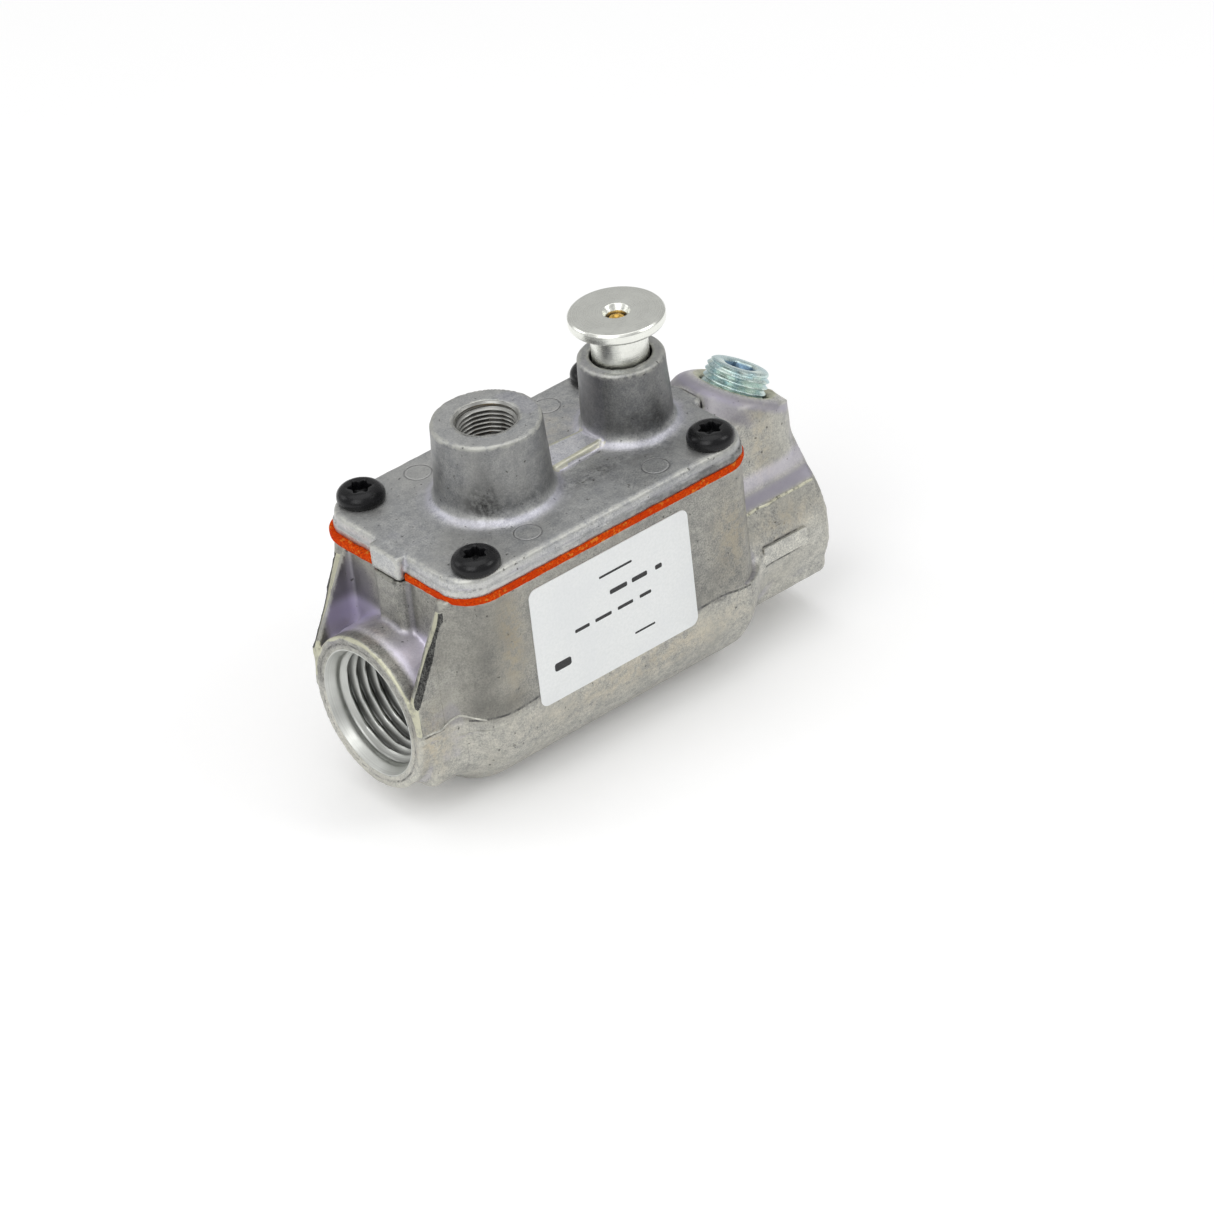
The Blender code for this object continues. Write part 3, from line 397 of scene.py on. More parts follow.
def contour(distance, low, high, cell):
    """Dual contouring: points, quads and point normals of the surface inside a box."""
    axes = [np.arange(a - 1.7 * cell, b + 2.7 * cell, cell) for a, b in zip(low, high)]
    shape = [len(a) for a in axes]
    grid = np.meshgrid(*axes, indexing="ij", sparse=True)
    values = np.broadcast_to(distance(*grid), shape)

    cells = np.array([n - 1 for n in shape])
    strides = np.array([cells[1] * cells[2], cells[2], 1])
    owner, points, normals, quads = [], [], [], []
    for axis in range(3):
        index, crossing, leaves = surface_crossings(distance, values, axes, axis)
        normal = unit(slope_of(distance, crossing, 0.03))
        b, c = (axis + 1) % 3, (axis + 2) % 3
        around = []
        for db, dc in ((-1, -1), (0, -1), (0, 0), (-1, 0)):
            cell_index = index.copy()
            cell_index[:, b] += db
            cell_index[:, c] += dc
            around.append(cell_index @ strides)
            owner.append(around[-1])
            points.append(crossing)
            normals.append(normal)
        quad = np.stack(around, axis=1)
        quad[~leaves] = quad[~leaves][:, ::-1]
        quads.append(quad)
    owner, points, normals = np.concatenate(owner), np.concatenate(points), np.concatenate(normals)
    used, slot = np.unique(owner, return_inverse=True)
    count = np.bincount(slot).astype(float)

    def gather(values_):
        flat = values_.reshape(len(values_), -1)
        columns = [np.bincount(slot, weights=flat[:, k]) for k in range(flat.shape[1])]
        return np.stack(columns, axis=1).reshape(-1, *values_.shape[1:])

    middle = gather(points) / count[:, None]
    offset = np.einsum("ij,ij->i", normals, points - middle[slot])
    squares = gather(normals[:, :, None] * normals[:, None, :])
    pulls = gather(normals * offset[:, None])
    size, basis = np.linalg.eigh(squares)
    keep = size > 0.12 * size[:, 2:]
    inverse = np.where(keep, 1 / np.maximum(size, 1e-9), 0)
    shift = np.einsum("nij,nj,nkj,nk->ni", basis, inverse, basis, pulls)
    corner = np.stack([axes[k][np.unravel_index(used, cells)[k]] for k in range(3)], axis=1)
    vertices = np.clip(middle + shift, corner - 0.1 * cell, corner + 1.1 * cell)
    vertices = np.clip(vertices, low, high)
    faces = np.searchsorted(used, np.concatenate(quads))
    return vertices, faces, unit(gather(normals))


# Blender objects

def new_object(name, points, faces, smooth_angle):
    """An object from points in millimetres. Edges that turn by more than the angle stay sharp."""
    mesh = bpy.data.meshes.new(name)
    mesh.from_pydata((np.asarray(points, float) * MM).tolist(), [], [tuple(map(int, f)) for f in faces])
    mesh.validate()
    mesh.update()
    obj = bpy.data.objects.new(name, mesh)
    bpy.context.scene.collection.objects.link(obj)
    mesh.shade_smooth()
    mesh.set_sharp_from_angle(angle=math.radians(smooth_angle))
    return obj


def set_point_values(obj, **attributes):
    """Stores numbers for the material, one to a point or the same one for all of them."""
    for name, values in attributes.items():
        attribute = obj.data.attributes.new(name, "FLOAT", "POINT")
        values = np.broadcast_to(np.asarray(values, np.float32), len(obj.data.vertices))
        attribute.data.foreach_set("value", np.ascontiguousarray(values))


def cast_piece(name, distance, low, high, cell, shading):
    """A casting from its distance function, with its curvature and local shading kept for the material."""
    def uneven(x, y, z):
        return distance(x, y, z) + 0.026 * ripple(x, y, z, 4.3, 7) + 0.011 * ripple(x, y, z, 1.9, 11)

    points, faces, normals = contour(uneven, low, high, cell)
    obj = new_object(name, points, faces, 180.0)
    obj.data.normals_split_custom_set_from_vertices(normals.tolist())
    reach = 0.8
    total = -6 * distance(*points.T)
    for axis in range(3):
        for way in (-reach, reach):
            offset = np.zeros(3)
            offset[axis] = way
            total = total + distance(*(points + offset).T)
    bend = total / reach ** 2
    shades = {**FAR_FROM_LINES, **shading(points, normals)}
    set_point_values(obj, edge=np.clip(bend, 0, 2), hollow=np.clip(-bend, 0, 2), **shades)
    return obj


def patches(spots, *place):
    """The sum of soft spots: each is a strength, a centre and how far it reaches along X, Y and Z."""
    total = 0.0
    for strength, centre, reach in spots:
        off = [(p - c) / r for p, c, r in zip(place, centre, reach)]
        total = total + strength * np.exp(-(off[0] ** 2 + off[1] ** 2 + off[2] ** 2))
    return total


def body_shading(points, normals):
    """How light, how lavender and how ochre the body's skin is, with painted light and shade in its tone and
    lavender, and its distances to the crisp lines.
    """
    x, y, z = points.T
    u, h, above_axis, across = x - BOX_X, z - DECK_Z, z - PIPE_Z, np.abs(y)
    # Lighter below the ledge: partly a cleaner lower half, partly a painted reflection of the pale floor.
    tone = 0.69 + 0.29 * fall(above_axis, 0.2, 1.0)
    tone -= 0.08 * fall(u, -27.0, -23.0) * rise(above_axis, 0.5, 2.0)
    tone += 0.22 * rise(u, 29.0, 31.0) * rise(above_axis, 0.0, 2.0)
    tone += 0.12 * fall(u, -30.0, -28.0) * (across < 11.5)
    # Darker patches on the walls, most of all by the inlet corner: partly soot, partly painted shade in the
    # corners where the wall meets the inlet end.
    shade_and_soot = patches([
        (1.0, (-25.0, -18.0, -20.5), (7.0, 5.0, 2.2)),
        (0.6, (-24.5, -18.0, -5.0), (3.0, 4.0, 9.0)),
        (0.7, (-27.5, -17.0, -14.0), (2.2, 4.0, 7.0)),
        (0.5, (18.0, -18.0, -19.0), (9.0, 5.0, 4.0))], u, y, h)
    tone = tone * (1 - 0.34 * np.clip(shade_and_soot, 0, 1))

    # The gusset bevels are drawn near black: painted shade on the bevel faces, partly their dark as-cast
    # skin.
    slope, bevel = gusset_planes(u, y, h)
    on_rib = (u < -31.3) & (above_axis > 6.3) & (across > 11.0) & (h < -1.3)
    bevel = bevel - 0.10 * rise(h, -9.0, -3.0)
    end_wall = fall(u, -29.0, -27.5) * rise(h, -14.0, -9.0) * (across < 11.9)
    # Painted shadow in a soft vertical stripe beside the pillar, on the front side only.
    corners = np.exp(-((across - 4.6) / 1.0) ** 2) * (u < -28) * rise(h, -13.0, -9.0)
    tone = tone * (1 - 0.06 * end_wall) * (1 - 0.30 * corners * (y < 0))
    # Painted shadow: the top of the pillar under the cover's tab is near black.
    shadow_under_tab = (u < -27) & (across < 3.9) & (np.abs(z - PILLAR_TOP) < 0.35)
    tone = np.where(shadow_under_tab & (normals[:, 2] > 0.5), 0.08, tone)

    # On the outlet block past the box: a painted dark reflection band and a painted highlight band, both
    # tinted lavender.
    past_box = rise(u, 29.5, 31.0) * (across > 7.5)
    painted_dark_band = past_box * band(h, -14.5, -12.7, 0.35)
    painted_light_band = past_box * band(h, -12.3, -9.8, 0.7)
    tone = tone * (1 - 0.16 * painted_dark_band) + 0.34 * painted_light_band
    # Painted light lifts the shaded saddle between the inlet ribs; painted shade darkens the back of that
    # end.
    saddle_light = band(u, -36.2, -29.5, 0.5) * band(h, -16.0, -9.5, 1.2) * fall(across, 11.6, 12.4)
    behind = rise(y, 4.0, 9.0) * fall(u, -30.0, -28.5) * band(h, -13.0, -3.0, 2.0)
    tone = tone * (1 - 0.22 * behind) + 0.75 * saddle_light
    out, off = port_coordinates(x, y, z)
    rim_face = rise(out, -0.6, -0.15) * fall(off, 8.2, 9.2)
    # Painted shade under the side port's rim, and on the front of the rim's edge.
    shade_under_rim = band(out, -4.2, -1.0, 0.7) * fall(u, 35.5, 39.0) * (u > 29)
    rim_edge_shade = band(out, -1.6, -0.2, 0.4) * band(off, 6.8, 9.5, 0.4)
    tone = tone * (1 - 0.20 * shade_under_rim) + 0.40 * rim_face - 0.08 * rim_edge_shade * (y < 0)
    gusset_side = fall(u, -31.5, -30.0) * rise(across, 12.6, 13.2) * (h < -12.0)
    tone += 0.13 * gusset_side * (above_axis > 0.3)
    # Painted light: soft lighter spots low on the front, where the barrel draws in to the outlet block.
    tone += patches([
        (0.22, (31.0, -14.0, -22.5), (3.0, 5.0, 3.0)),
        (0.16, (44.5, -13.5, -20.5), (2.5, 4.0, 2.5))], u, y, h)
    lavender = 0.75 * saddle_light + 0.55 * behind + 0.8 * painted_dark_band + 0.5 * (painted_light_band + shade_under_rim)
    lavender += 0.6 * rim_edge_shade

    ochre = patches([
        (1.0, (-22.0, -18.0, -9.0), (2.4, 5.0, 9.0)),
        (0.8, (24.0, -18.0, -12.0), (4.0, 6.0, 7.0)),
        (0.6, (5.0, -17.0, -27.0), (22.0, 6.0, 3.5)),
        (0.8, (-36.0, -13.5, -24.0), (3.0, 4.0, 6.0)),
        (0.7, (38.5, -8.0, -4.5), (2.6, 4.0, 7.0)),
        (0.6, (39.0, -13.0, -18.5), (7.0, 4.0, 2.5))], u, y, h)
    beside_box = (u > -30.0) & (u < 27.0) & (across > 12.0)
    beside_inlet = (u < -33.5) & (u > -38.5) & (across > 12.5)
    from_pad = u - PAD_MIDDLE[0]
    beside_pad = (from_pad > -PAD_HALF[0]) & (from_pad < PAD_HALF[0] - 1.5) & (across > 12.0)
    seam = np.where(beside_box, above_axis - ledge_height(x, y) + 0.6 * rise(u, 20.0, 26.0), 3.0)
    seam = np.where(beside_inlet, 1.1 - above_axis, seam)
    off_pad = np.abs(above_axis - PAD_MIDDLE[1]) - PAD_HALF[1]
    seam = np.where(beside_pad, off_pad + np.where(above_axis > PAD_MIDDLE[1], 0.12, -0.16), seam)
    inner_edge = across - 12.75 + 0.4 * rise(above_axis, 7.0, 15.0)
    crest = np.where(on_rib, np.minimum(slope, inner_edge), -2.0)
    crest = np.where((out > -0.8) & (off < 8.8), 6.9 - off, crest)
    from_pipe = np.hypot(y, above_axis)
    inlet_face = (x < BODY_LOW[0] + 0.6) & (from_pipe > 11.5)
    # A pale line on the inlet face's outer rim, on its upper half only: a painted highlight.
    rim_highlight = from_pipe - 13.15 + 0.2 * ripple(x, y, z, 4.0, 61)
    crest = np.where(inlet_face & (above_axis > 1.0), rim_highlight, crest)
    seam = np.where(inlet_face, np.abs(from_pipe - 12.1) + 0.28, seam)
    return {
        "tone": tone,
        "lavender": np.clip(lavender, 0, 1),
        "ochre": np.clip(ochre, 0, 1),
        "bevel": np.where(on_rib, np.clip(bevel, -2, 2), -2.0),
        "crest": np.clip(crest, -2, 2),
        "seam": np.clip(seam, -3, 3),
    }


def cover_shading(points, normals):
    """The same for the cover, with handling stains, painted highlights and shade in its tone, and the
    distance to the ejector marks.
    """
    x, y, z = points.T
    u, h = x - BOX_X, z - COVER_TOP
    upright = fall(np.abs(normals[:, 2]), 0.4, 0.8)
    # Painted dark reflection: the bosses' sides are darker, the button guide's most.
    sides = rise(h, 1.2, 3.0) * upright
    guide = disc(x - BUTTON_X, y, 9.5) < 0
    tone = 1.16 - np.where(guide, 0.62, 0.40) * sides
    # Painted shade: the cover darkens towards its outlet end.
    tone -= 0.12 * rise(u, 6.0, 26.0) * (h < 0.5)
    # The cover's sides: painted light at the inlet end, painted shade towards the outlet, deepest on the
    # lower skirt.
    skirt_shade = fall(h, -1.9, -1.5)
    tone += upright * (h < 0.2) * (0.22 - rise(u, -20.0, 6.0) * (0.16 + 0.42 * skirt_shade))
    stain = patches([
        (1.0, (MAGNET_X - 6.9, -6.2, 3.4), (3.2, 3.2, 2.9)),
        (0.35, (MAGNET_X + 1.5, -9.4, 3.0), (4.0, 3.0, 3.0)),
        (0.6, (BUTTON_X - 1.5, -7.5, 4.0), (6.0, 4.0, 3.0)),
        (0.65, (BOX_X + 5.0, -8.0, 0.0), (7.0, 2.6, 2.0)),
        (0.35, (BOX_X + 20.0, -10.5, 0.0), (6.0, 2.2, 2.0)),
        (0.30, (BOX_X - 22.0, -8.0, 0.0), (4.0, 3.0, 2.0))], x, y, h)
    stain += 0.5 * rise(u, -4.0, 14.0) * upright * band(h, -3.2, -1.7, 0.25)
    around = np.minimum(np.hypot(x - MAGNET_X, y) - MAGNET_BOSS_FOOT, np.hypot(x - BUTTON_X, y) - GUIDE_FOOT)
    # Painted highlight on the fillets round the bosses' feet, brightest where they face the front and the
    # inlet end, with a lavender tint.
    fillet_highlight = band(h, 0.12, 1.0, 0.25) * fall(around, 2.6, 3.4)
    facing = np.clip(0.75 - 0.25 * normals[:, 0] - 0.65 * normals[:, 1], 0.2, 1.2)
    on_rib = (np.abs(x - RIB_MIDDLE) < 9) & (beside_rib(x, y) < 0.7)
    rib = on_rib * rise(h, 0.3, 0.8) * (around > 0.6)
    tone += 0.42 * fillet_highlight * facing + 0.58 * rib
    tone += patches([(0.24, (RIB_MIDDLE, 10.0, 0.0), (12.0, 6.0, 2.0))], x, y, h)
    marks = np.minimum.reduce([disc(u - mx, y - my, EJECTOR_RADIUS) for mx, my in EJECTOR_MARKS])
    return {
        "tone": tone,
        "lavender": 0.30 * fillet_highlight + 0.15 * on_rib * rise(h, 0.2, 0.5),
        "crest": np.where(on_rib & (h > 0.3) & (around > 0.3), beside_rib(x, y) + 0.38, -2.0),
        "ochre": patches([(0.45, (RIB_MIDDLE, 9.0, 0.0), (10.0, 5.0, 2.0))], x, y, h),
        "stain": np.clip(stain, 0, 1),
        "mark": np.where(h > 0.15, 1.0, np.clip(marks, -1, 1)),
    }


# Shapes made of loops

def skin(loops, ring=False, flip=False):
    """Points and faces of equal closed loops, joined in order. A ring's last loop is joined to its first,
    and otherwise the ends are closed by fans."""
    loops = [np.asarray(loop, float) for loop in loops]
    size, rows = len(loops[0]), len(loops)
    points = list(np.concatenate(loops))
    faces = []
    for row in range(rows if ring else rows - 1):
        a, b = row * size, (row + 1) % rows * size
        for i in range(size):
            j = (i + 1) % size
            faces.append((a + i, a + j, b + j, b + i))
    for row, outward in () if ring else ((0, False), (rows - 1, True)):
        hub = len(points)
        points.append(loops[row].mean(axis=0))
        for i in range(size):
            fan = (hub, row * size + i, row * size + (i + 1) % size)
            faces.append(fan if outward else (fan[0], fan[2], fan[1]))
    return np.array(points), [face[::-1] for face in faces] if flip else faces


def angles(steps):
    return np.linspace(0, 2 * math.pi, steps, endpoint=False)


def circle(radius, height, steps):
    """A loop about Z; the radius may differ from point to point."""
    angle = angles(steps)
    return np.stack([radius * np.cos(angle), radius * np.sin(angle), np.full(steps, height)], axis=1)


def circles(profile, steps):
    return [circle(radius, height, steps) for radius, height in profile]


def outline(centre, half, corner, steps):
    """Points round a rectangle whose corners are arcs of so many points."""
    ring = []
    for quarter, (side_u, side_v) in enumerate([(1, 1), (-1, 1), (-1, -1), (1, -1)]):
        for turn in np.linspace(0, math.pi / 2, steps):
            angle = math.pi / 2 * quarter + turn
            ring.append((centre[0] + side_u * (half[0] - corner) + corner * math.cos(angle),
                         centre[1] + side_v * (half[1] - corner) + corner * math.sin(angle)))
    return np.array(ring)


def distance_along(path):
    return np.concatenate([[0], np.cumsum(np.linalg.norm(np.diff(path, axis=0), axis=1))])


def resampled(path, places):
    """The points of a path at other distances along it."""
    run = distance_along(path)
    return np.stack([np.interp(places, run, column) for column in path.T], axis=1)


def rounded_profile(corners, steps=4):
    """A (radius, height) profile whose corners, given with their own rounding, are turned into arcs."""
    out = []
    for k, (r, z, rounding) in enumerate(corners):
        here = np.array((r, z))
        if rounding == 0 or k in (0, len(corners) - 1):
            out.append(here)
            continue
        before = np.array(corners[k - 1][:2]) - here
        after = np.array(corners[k + 1][:2]) - here
        start = here + before / np.linalg.norm(before) * rounding
        end = here + after / np.linalg.norm(after) * rounding
        for t in np.linspace(0, 1, steps + 1):
            out.append((1 - t) ** 2 * start + 2 * t * (1 - t) * here + t ** 2 * end)
    return out


def placed(points, origin, axis):
    """Points made about +Z, turned to an axis and moved to an origin."""
    turn = np.array(Vector((0, 0, 1)).rotation_difference(Vector(axis)).to_matrix())
    return points @ turn.T + np.asarray(origin)


# Materials

class Finish:
    """A Principled material, with short ways to add nodes. Positions in its nodes are millimetres."""

    def __init__(self, name, roughness, metallic, **constants):
        self.material = bpy.data.materials.new(name)
        self.material.use_nodes = True
        self.tree = self.material.node_tree
        self.shader = self.tree.nodes["Principled BSDF"]
        self.shader.inputs["Roughness"].default_value = roughness
        self.shader.inputs["Metallic"].default_value = metallic
        for socket, value in constants.items():
            self.shader.inputs[socket.replace("_", " ")].default_value = value
        place = self.tree.nodes.new("ShaderNodeTexCoord")
        self.place = self.add("ShaderNodeVectorMath", {0: place.outputs["Object"], "Scale": 1 / MM},
                              operation="SCALE").outputs["Vector"]

    def add(self, kind, inputs=None, **settings):
        node = self.tree.nodes.new(kind)
        for key, value in settings.items():
            setattr(node, key, value)
        for key, value in (inputs or {}).items():
            if isinstance(value, bpy.types.NodeSocket):
                self.tree.links.new(value, node.inputs[key])
            else:
                node.inputs[key].default_value = value
        return node

    def math(self, operation, a, b=0.0):
        return self.add("ShaderNodeMath", {0: a, 1: b}, operation=operation).outputs[0]

    def times(self, a, b, clamp=False):
        return self.add("ShaderNodeMath", {0: a, 1: b}, operation="MULTIPLY", use_clamp=clamp).outputs[0]

    def noise(self, size, detail=3.0, roughness=0.55, stretch=None, shift=0.0):
        """Noise whose blotches are about that many millimetres across."""
        place = self.place
        if stretch or shift:
            moved = {"Vector": place, "Location": (shift, shift, shift), "Scale": stretch or (1, 1, 1)}
            place = self.add("ShaderNodeMapping", moved).outputs[0]
        return self.add("ShaderNodeTexNoise", {
            "Vector": place, "Scale": 1 / size, "Detail": detail, "Roughness": roughness}).outputs["Fac"]

    def spread(self, value, low, high, to_low=0.0, to_high=1.0):
        return self.add("ShaderNodeMapRange", {
            "Value": value, "From Min": low, "From Max": high, "To Min": to_low, "To Max": to_high},
            interpolation_type="SMOOTHSTEP").outputs["Result"]

    def mix(self, share, a, b, blend="MIX"):
        """Blends two colours, each a socket or three numbers."""
        a, b = (c if isinstance(c, bpy.types.NodeSocket) else (*c, 1.0) for c in (a, b))
        settings = {"data_type": "RGBA", "blend_type": blend}
        return self.add("ShaderNodeMix", {0: share, 6: a, 7: b}, **settings).outputs[2]

    def tint(self, colour, other, value, low, high, share=1.0):
        """Goes from a colour to that share of another one as a value rises."""
        return self.mix(self.spread(value, low, high, 0.0, share), colour, other)

    def value_of(self, name):
        return self.add("ShaderNodeAttribute", attribute_name=name).outputs["Fac"]

    def colour(self, value):
        self.tree.links.new(value, self.shader.inputs["Base Color"])

    def roughness(self, value):
        self.tree.links.new(value, self.shader.inputs["Roughness"])

    def bump(self, height, depth, strength=1.0):
        """Adds relief of a depth in millimetres to what is there already."""
        node = self.add("ShaderNodeBump", {"Height": height, "Distance": depth * MM, "Strength": strength})
        existing = self.shader.inputs["Normal"].links
        if existing:
            self.tree.links.new(existing[0].from_socket, node.inputs["Normal"])
        self.tree.links.new(node.outputs["Normal"], self.shader.inputs["Normal"])


def grey(value):
    return value, value, value


def scaled(colour, share):
    return [channel * share for channel in colour]


def cast_metal(name, base, contrast):
    """Die-cast aluminium: mottled grey with cool lavender hollows, pale worn edges and handling stains. Its
    lavender also serves as a painted sheen, its pale edges and crest lines are partly painted highlights,
    and its tone carries painted light and shade.
    """
    def shade(red, green, blue):
        return base[0] * red, base[1] * green, base[2] * blue

    f = Finish(name, 0.45, 0.8)
    grain = f.noise(0.30, 3.0, 0.75)
    mottle = f.noise(1.5, 5.0, 0.7, shift=13.0)
    blotch = f.noise(5.0, 4.0, 0.65, shift=3.0)
    cloud = f.noise(13.0, 3.0, 0.55, shift=9.0)
    lavender = f.value_of("lavender")
    texture = f.math("ADD", f.times(grain, 0.62), f.times(mottle, 0.38))
    dark, light = 1 - 0.42 * contrast, 1 + 0.40 * contrast
    colour = f.mix(f.spread(texture, 0.33, 0.67), shade(dark, dark + 0.01, dark + 0.03),
                   shade(light, light - 0.01, light - 0.06))
    colour = f.tint(colour, shade(0.70, 0.71, 0.74), blotch, 0.44, 0.74, 0.42)
    colour = f.tint(colour, shade(1.24, 1.21, 1.12), cloud, 0.42, 0.66, 0.36)
    colour = f.tint(colour, shade(1.0, 1.0, 1.0), lavender, 0.1, 0.7, 0.6)
    ochre = f.times(f.value_of("ochre"), f.spread(mottle, 0.40, 0.62, 0.15, 1.0))
    colour = f.mix(f.times(ochre, 0.6), colour, shade(1.20, 1.0, 0.68))
    hollow = f.times(f.value_of("hollow"), f.spread(blotch, 0.3, 0.6, 0.5, 1.1))
    colour = f.tint(colour, (0.48, 0.46, 0.54), hollow, 0.3, 0.9, 0.30)
    # Lavender lightens and cools the colour: a painted sheen where the shading functions set it.
    colour = f.mix(f.times(lavender, 0.75), colour, shade(1.06, 1.0, 1.38))
    # The tone multiplies the colour; it carries painted light and shade as well as darker and lighter skin.
    tone = f.add("ShaderNodeCombineColor", {k: f.value_of("tone") for k in range(3)}).outputs[0]
    colour = f.mix(1.0, colour, tone, "MULTIPLY")

    # Pale convex edges: partly wear, partly painted edge highlight.
    edge = f.times(f.value_of("edge"), f.spread(mottle, 0.38, 0.60, 0.45, 1.15))
    colour = f.tint(colour, (0.62, 0.62, 0.55), edge, 0.30, 1.5, 0.42)
    # Pale crest lines along rib tops, rims and the inlet face: partly wear, partly painted highlight.
    crest = f.spread(f.value_of("crest"), -0.22, -0.10)
    crest = f.times(crest, f.spread(mottle, 0.36, 0.5, 0.5, 1.0))
    colour = f.mix(f.times(crest, 0.7), colour, (0.66, 0.65, 0.48))
    # Painted shade: the gusset bevels go near black, partly their dark as-cast skin.
    bevel = f.mix(f.spread(texture, 0.4, 0.65), grey(0.025), (0.16, 0.16, 0.15))
    colour = f.mix(f.spread(f.value_of("bevel"), -0.26, -0.14), colour, bevel)
    seam = f.value_of("seam")
    seam = f.times(f.spread(seam, 0.02, 0.12), f.spread(seam, 0.30, 0.60, 1.0, 0.0))
    seam = f.times(seam, f.spread(mottle, 0.38, 0.56, 0.25, 0.9))
    colour = f.mix(seam, colour, grey(0.07))
    mark = f.value_of("mark")
    from_ring = f.math("ABSOLUTE", mark)
    groove = f.spread(from_ring, 0.05, 0.20, 1.0, 0.0)
    colour = f.mix(f.times(groove, f.spread(mottle, 0.4, 0.6, 0.35, 0.8)), colour, grey(0.10))
    # Painted highlight: a light ring just inside each ejector mark's groove.
    raised = f.spread(mark, -0.42, -0.22, 0.0, 0.22)
    raised = f.times(raised, f.spread(mark, -0.1, 0.0, 1.0, 0.0))
    colour = f.mix(raised, colour, (0.75, 0.75, 0.74))
    stain = f.times(f.value_of("stain"), f.spread(f.noise(1.3, 5.0, 0.75, shift=5.0), 0.36, 0.62))
    colour = f.mix(f.times(stain, 0.9, clamp=True), colour, grey(0.045))
    pits = f.spread(f.noise(0.8, 2.0, 0.4, shift=17.0), 0.70, 0.78)
    colour = f.mix(f.times(pits, 0.7), colour, (0.06, 0.06, 0.055))
    f.colour(colour)
    f.roughness(f.spread(f.math("ADD", grain, f.times(blotch, 0.6)), 0.5, 1.1, 0.34, 0.56))
    f.bump(f.noise(2.6, 2.0, 0.5, shift=2.0), 0.06)
    f.bump(grain, 0.03)
    f.bump(pits, -0.05)
    f.bump(f.spread(from_ring, 0.0, 0.3), 0.06)
    return f.material


def machined_metal(name, base, centre, axis, pitch, gloss):
    """Cut metal with fine rings about an axis, where the tool went round."""
    f = Finish(name, 0.3, 1.0)
    shifted = f.add("ShaderNodeVectorMath", {0: f.place, 1: scaled(centre, -1)}, operation="ADD").outputs[0]
    parts = f.add("ShaderNodeSeparateXYZ", {0: shifted})
    across = [parts.outputs[k] for k in range(3) if k != "XYZ".index(axis)]
    squares = [f.math("POWER", part, 2.0) for part in across]
    radius = f.math("SQRT", f.math("ADD", *squares))
    travel = f.math("ADD", radius, parts.outputs["XYZ".index(axis)])
    lines = f.add("ShaderNodeTexNoise", {"W": f.math("DIVIDE", travel, pitch), "Scale": 1.0, "Detail": 3.0,
                                         "Roughness": 0.7}, noise_dimensions="1D").outputs["Fac"]
    smear = f.noise(2.5, 3.0, 0.6)
    colour = f.mix(f.spread(lines, 0.3, 0.7), scaled(base, 0.82), base)
    # Painted shade: the thread roots darken, and more so further into the bore.
    root = f.spread(f.value_of("root"), 0.25, 1.0, 0.0, 0.85)
    f.colour(f.mix(root, colour, scaled(base, 0.16)))
    f.roughness(f.spread(f.math("ADD", lines, smear), 0.7, 1.3, *gloss))
    f.bump(lines, 0.006)
    f.bump(smear, 0.012)
    return f.material


def black_oxide():
    f = Finish("black_oxide", 0.3, 0.2, Specular_IOR_Level=0.36)
    speck = f.noise(0.35, 3.0, 0.6)
    wear = f.spread(f.noise(1.4, 4.0, 0.7, shift=4.0), 0.62, 0.75)
    f.colour(f.mix(f.times(wear, 0.3), (0.006, 0.006, 0.007), (0.08, 0.08, 0.075)))
    f.roughness(f.spread(speck, 0.3, 0.7, 0.20, 0.36))
    f.bump(speck, 0.012)
    return f.material


def zinc_plate():
    """Clear zinc with its pale blue and green sheen."""
    f = Finish("zinc_plate", 0.3, 0.9)
    drift = f.noise(2.2, 2.0, 0.5)
    grain = f.noise(0.3, 3.0, 0.6, shift=6.0)
    colour = f.mix(f.spread(drift, 0.35, 0.65), (0.42, 0.58, 0.60), (0.64, 0.76, 0.70))
    colour = f.tint(colour, (0.86, 0.93, 0.92), grain, 0.4, 0.7, 0.4)
    # Painted shade inside the hexagon socket, in a dark blue.
    colour = f.mix(f.times(f.value_of("deep"), 0.85), colour, (0.05, 0.13, 0.24))
    f.colour(colour)
    f.roughness(f.spread(grain, 0.3, 0.7, 0.24, 0.40))
    f.bump(grain, 0.012)
    return f.material


def gasket_fibre():
    """Pressed red-orange fibre with straw-coloured and dark flecks."""
    f = Finish("gasket_fibre", 0.9, 0.0, Specular_IOR_Level=0.08)
    fleck = f.noise(0.42, 4.0, 0.7, stretch=(1, 1, 1.6))
    spark = f.noise(0.75, 2.0, 0.5, shift=8.0)
    colour = f.mix(f.spread(fleck, 0.3, 0.7), (0.36, 0.022, 0.001), (0.76, 0.085, 0.002))
    colour = f.tint(colour, (0.66, 0.25, 0.035), spark, 0.58, 0.70, 0.75)
    char = f.noise(0.6, 3.0, 0.6, shift=21.0)
    colour = f.tint(colour, (0.13, 0.014, 0.004), char, 0.60, 0.70, 0.75)
    cloud = f.noise(7.0, 2.0, 0.5, shift=2.0)
    colour = f.tint(colour, (0.52, 0.030, 0.001), cloud, 0.42, 0.62, 0.5)
    f.colour(colour)
    f.bump(fleck, 0.05)
    return f.material


def label_paper():
    f = Finish("label_paper", 0.42, 0.0, Coat_Weight=0.15, Coat_Roughness=0.3)
    fibre = f.noise(0.5, 4.0, 0.6)
    cloud = f.noise(9.0, 2.0, 0.5)
    colour = f.mix(f.spread(fibre, 0.3, 0.7), (0.78, 0.80, 0.795), (0.84, 0.855, 0.85))
    f.colour(f.tint(colour, (0.76, 0.78, 0.79), cloud, 0.4, 0.7, 0.4))
    f.roughness(f.spread(fibre, 0.3, 0.7, 0.38, 0.5))
    f.bump(fibre, 0.004)
    return f.material


